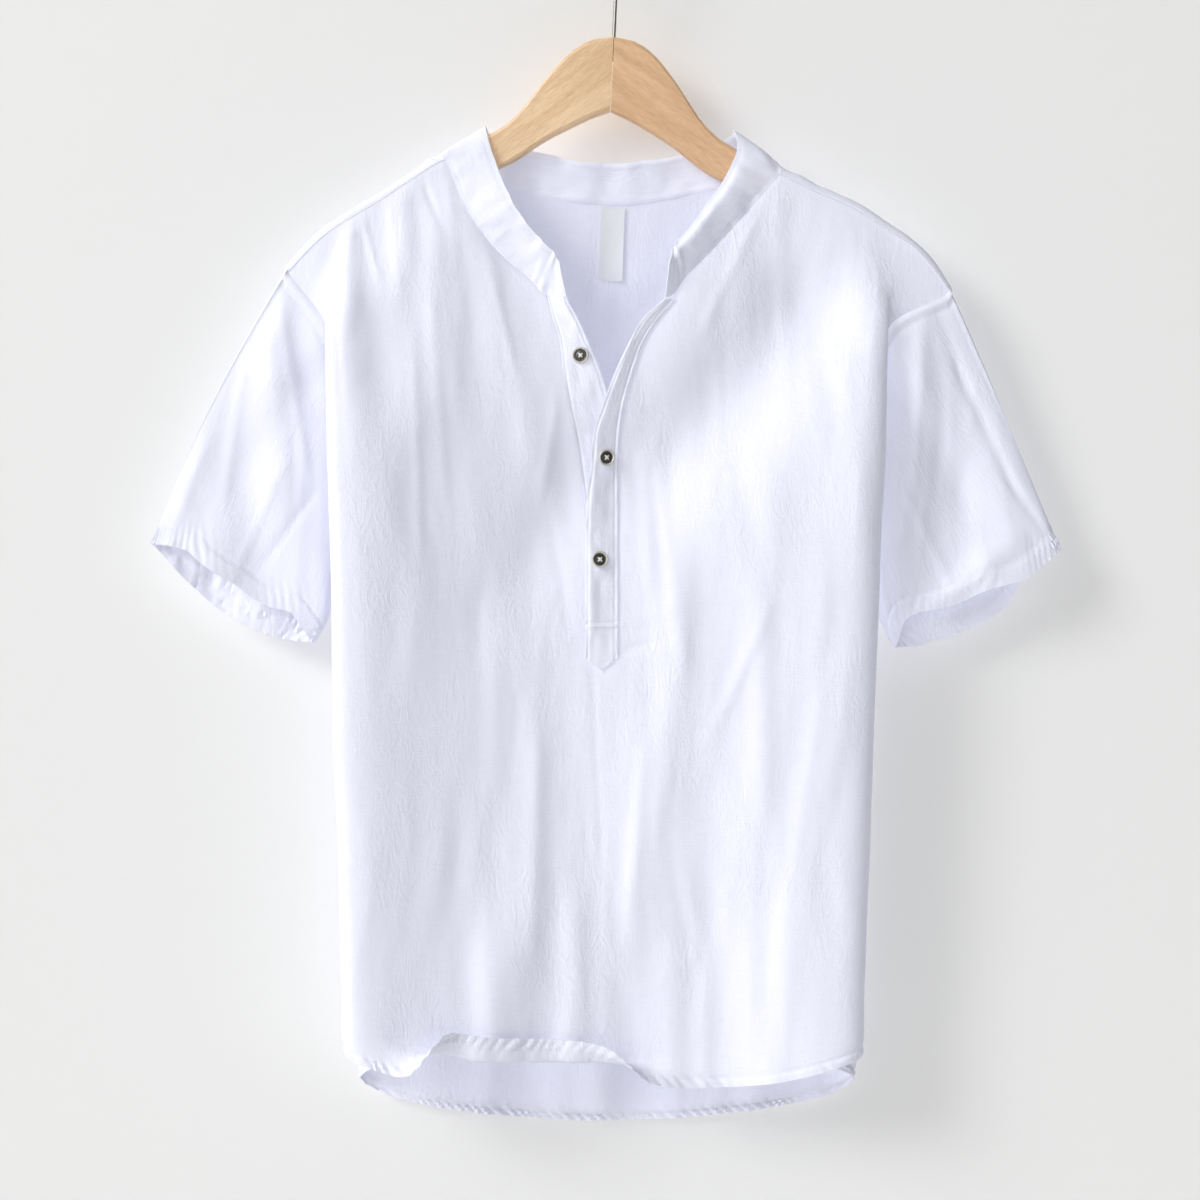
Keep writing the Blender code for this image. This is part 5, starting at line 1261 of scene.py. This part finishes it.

# ==================================================================== stitching
# White sewing thread in rows of single stitches, sunk a little into the cloth: round the collar, the
# placket and the shoulder seams, and along every hem.
STITCH_PITCH = 0.0030
STITCH_LENGTH = 0.0023
THREAD_RADIUS = 0.00019
PROUD = 0.00006             # how far the middle of a stitch lies off the cloth


def stitch_tree():
    """Nodes that set a stitch at every step along a row of edges."""
    tree = bpy.data.node_groups.new("row_of_stitches", "GeometryNodeTree")
    add, join = tree_tools(tree)
    sockets = {}
    for title, kind in (
        ("Seam", "Geometry"), ("Pitch", "Float"), ("Stitch length", "Float"), ("Thread radius", "Float"),
        ("Seed", "Int"), ("Thread", "Material"),
    ):
        made = tree.interface.new_socket(title, in_out="INPUT", socket_type="NodeSocket" + kind)
        sockets[title] = made.identifier
    tree.interface.new_socket("Stitches", in_out="OUTPUT", socket_type="NodeSocketGeometry")
    given, result = add("NodeGroupInput"), add("NodeGroupOutput")
    curve, even = add("GeometryNodeMeshToCurve"), add("GeometryNodeResampleCurve")
    even.mode = "LENGTH"
    ball = add("GeometryNodeMeshUVSphere", Segments=6, Rings=5, Radius=1.0)
    size, half = add("ShaderNodeCombineXYZ"), add("ShaderNodeMath")
    half.operation = "MULTIPLY"
    half.inputs[1].default_value = 0.5
    stitch, tangent = add("GeometryNodeTransform"), add("GeometryNodeInputTangent")
    along = add("FunctionNodeAlignRotationToVector")
    along.axis = "Z"
    vary = add("FunctionNodeRandomValue")
    vary.inputs["Min"].default_value = 0.85
    vary.inputs["Max"].default_value = 1.12
    on_points, real = add("GeometryNodeInstanceOnPoints"), add("GeometryNodeRealizeInstances")
    smooth_faces, finish = add("GeometryNodeSetShadeSmooth"), add("GeometryNodeSetMaterial")
    join(
        (given, "Seam", curve, "Mesh"), (curve, "Curve", even, "Curve"), (given, "Pitch", even, "Length"),
        (given, "Stitch length", half, 0), (given, "Thread radius", size, "X"), (given, "Thread radius", size, "Y"),
        (half, 0, size, "Z"), (ball, "Mesh", stitch, "Geometry"), (size, 0, stitch, "Scale"),
        (tangent, "Tangent", along, "Vector"), (given, "Seed", vary, "Seed"),
        (even, "Curve", on_points, "Points"), (stitch, "Geometry", on_points, "Instance"),
        (along, "Rotation", on_points, "Rotation"), (vary, 1, on_points, "Scale"),
        (on_points, "Instances", real, "Geometry"), (real, "Geometry", smooth_faces, "Geometry"),
        (smooth_faces, "Geometry", finish, "Geometry"), (given, "Thread", finish, "Material"),
        (finish, "Geometry", result, "Stitches"),
    )
    return tree, sockets


def sew(name, seams, thread, seed):
    """Rows of stitches along lists of points, as one plain mesh."""
    points, edges = [], []
    for line in seams:
        first = len(points)
        points.extend(line)
        edges.extend((i, i + 1) for i in range(first, len(points) - 1))
    mesh = bpy.data.meshes.new(name)
    mesh.from_pydata([tuple(p) for p in points], edges, [])
    made = put(name, mesh)
    sewn = made.modifiers.new("stitches", "NODES")
    sewn.node_group = stitches
    for title, value in (
        ("Pitch", STITCH_PITCH), ("Stitch length", STITCH_LENGTH), ("Thread radius", THREAD_RADIUS),
        ("Seed", seed), ("Thread", thread),
    ):
        sewn[stitch_sockets[title]] = value
    settle(made)
    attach(made, "root")
    return made


def grid_line(grid, normals, along, inset):
    """The line of a grid at a distance from its first row, a little proud of the cloth."""
    line = []
    for c in range(grid.shape[1]):
        at = np.interp(inset, along[:, c], np.arange(len(grid)))
        i = min(int(at), len(grid) - 2)
        share = at - i
        line.append(grid[i, c] * (1.0 - share) + grid[i + 1, c] * share + PROUD * normals[i, c])
    return line


stitches, stitch_sockets = stitch_tree()
white_thread = spun_thread("white_thread", (0.80, 0.82, 0.90))
for name, grid, normals, seed in (("front", front_grid, front_normals, 1), ("back", back_grid, back_normals, 2)):
    hem_line = grid_line(grid[::-1], normals[::-1], lengths(grid[::-1], 0), HEM_BAND)
    sew(f"hem_stitches_{name}", [hem_line[2:-2]], white_thread, seed)
for name, facing in (("left", 1), ("right", -1)):
    rings = sleeve_rings[name][::-1]
    ring_normals = grid_normals(rings, -facing, ring=True)
    cuff_line = grid_line(rings, ring_normals, lengths(rings, 0), CUFF_BAND)
    sew(f"cuff_stitches_{name}", [[*cuff_line, cuff_line[0]]], white_thread, 3)
collar_down = collar_height - collar_up
collar_lines = [
    grid_line(collar_grid, collar_normals, collar_up, COLLAR_FOOT_STITCH)[1:-1],
    grid_line(collar_grid[::-1], collar_normals[::-1], collar_down[::-1], COLLAR_TOP_STITCH)[1:-1],
]
sew("collar_stitches", collar_lines, white_thread, 4)
box_row = int(np.argmin(np.abs(over_grid[:, 0, 2] - BOX_TOP)))
placket_lines = []
for grid, inset, stretch in (
    (over_grid, 0.0020, slice(1, -2)), (over_grid[:, ::-1], 0.0020, slice(1, -2)),
    (under_grid[:, ::-1], 0.0020, slice(1, 40)), (under_grid, 0.0016, slice(1, -2)),
):
    turned = np.swapaxes(grid, 0, 1)
    placket_lines.append(grid_line(turned, facing_front(turned), lengths(turned, 0), inset)[stretch])
placket_lines.extend(over_grid[row, 2:-2] - (0.0, PROUD, 0.0) for row in (box_row, -2))
sew("placket_stitches", placket_lines, white_thread, 5)
shoulder_lines = []
for first in (WRAP_COLUMNS, back_grid.shape[1] - WRAP_COLUMNS - SHOULDER_COLUMNS):
    part = slice(first, first + SHOULDER_COLUMNS)
    shoulder_lines.append(grid_line(back_grid[:, part], back_normals[:, part], lengths(back_grid[:, part], 0), 0.002))
sew("shoulder_stitches", shoulder_lines, white_thread, 6)

# ==================================================================== hanger
# Two flat arms of pale beech, cut from the board along the grain, mitred and glued at the middle, sanded
# and lacquered. A bent steel wire is set in the top and makes the hook.


def beech(name, light, dark, slope):
    """Lacquered beech with its grain along the arm, slope being how steeply the arm falls."""
    made, add, join, shader, _ = new_material(name, Coat_Weight=0.25, Coat_Roughness=0.30)
    where = add("ShaderNodeTexCoord")

    def along_arm(shrink, **texture):
        turned = add("ShaderNodeMapping", Rotation=(0.0, slope, 0.0), Scale=(1.0, *shrink))
        turned.vector_type = "TEXTURE"
        noise = add("ShaderNodeTexNoise", **texture)
        join((where, "Object", turned, "Vector"), (turned, "Vector", noise, "Vector"))
        return noise

    grain = along_arm((0.10, 0.085), Scale=9.0, Detail=6.0, Roughness=0.6, Distortion=0.25)
    fleck = along_arm((0.1, 0.1), Scale=130.0, Detail=2.0)
    both = add("ShaderNodeMath")
    both.operation = "MULTIPLY_ADD"
    both.inputs[1].default_value = 0.55
    ramp = colour_ramp(add, (light, dark), (0.58, 0.98))
    gloss = add("ShaderNodeMapRange", To_Min=0.42, To_Max=0.60)
    bump = add("ShaderNodeBump", Strength=0.15, Distance=0.0003)
    join(
        (fleck, "Fac", both, 0), (grain, "Fac", both, 2), (both, 0, ramp, "Fac"),
        (ramp, "Color", shader, "Base Color"), (grain, "Fac", gloss, "Value"),
        (gloss, "Result", shader, "Roughness"), (both, 0, bump, "Height"), (bump, "Normal", shader, "Normal"),
    )
    return made


def drawn_steel(name):
    """Drawn wire with fine marks, slightly dulled."""
    colours = (0.15, 0.145, 0.125), (0.27, 0.26, 0.23)
    return clouded(name, colours, (0.0, 1.0), (0.25, 0.45), 350.0, 3.0, 0.0, Metallic=1.0)


# The two arms are one beech in a lit and a shaded copy. The right arm's colours are painted shade, darker because its
# face is turned from the light from the upper left. The left arm's colours are the lit copy.
for node, finish in (
    ("hanger_arm_left", beech("beech_lit_left", (0.83, 0.60, 0.385), (0.60, 0.385, 0.205), math.radians(-38))),
    ("hanger_arm_right", beech("beech_shaded_right", (0.74, 0.475, 0.275), (0.52, 0.31, 0.155), math.radians(34))),
    ("hanger_hook", drawn_steel("drawn_steel")),
):
    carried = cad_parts[node]
    for slot in carried.material_slots:
        slot.material = finish
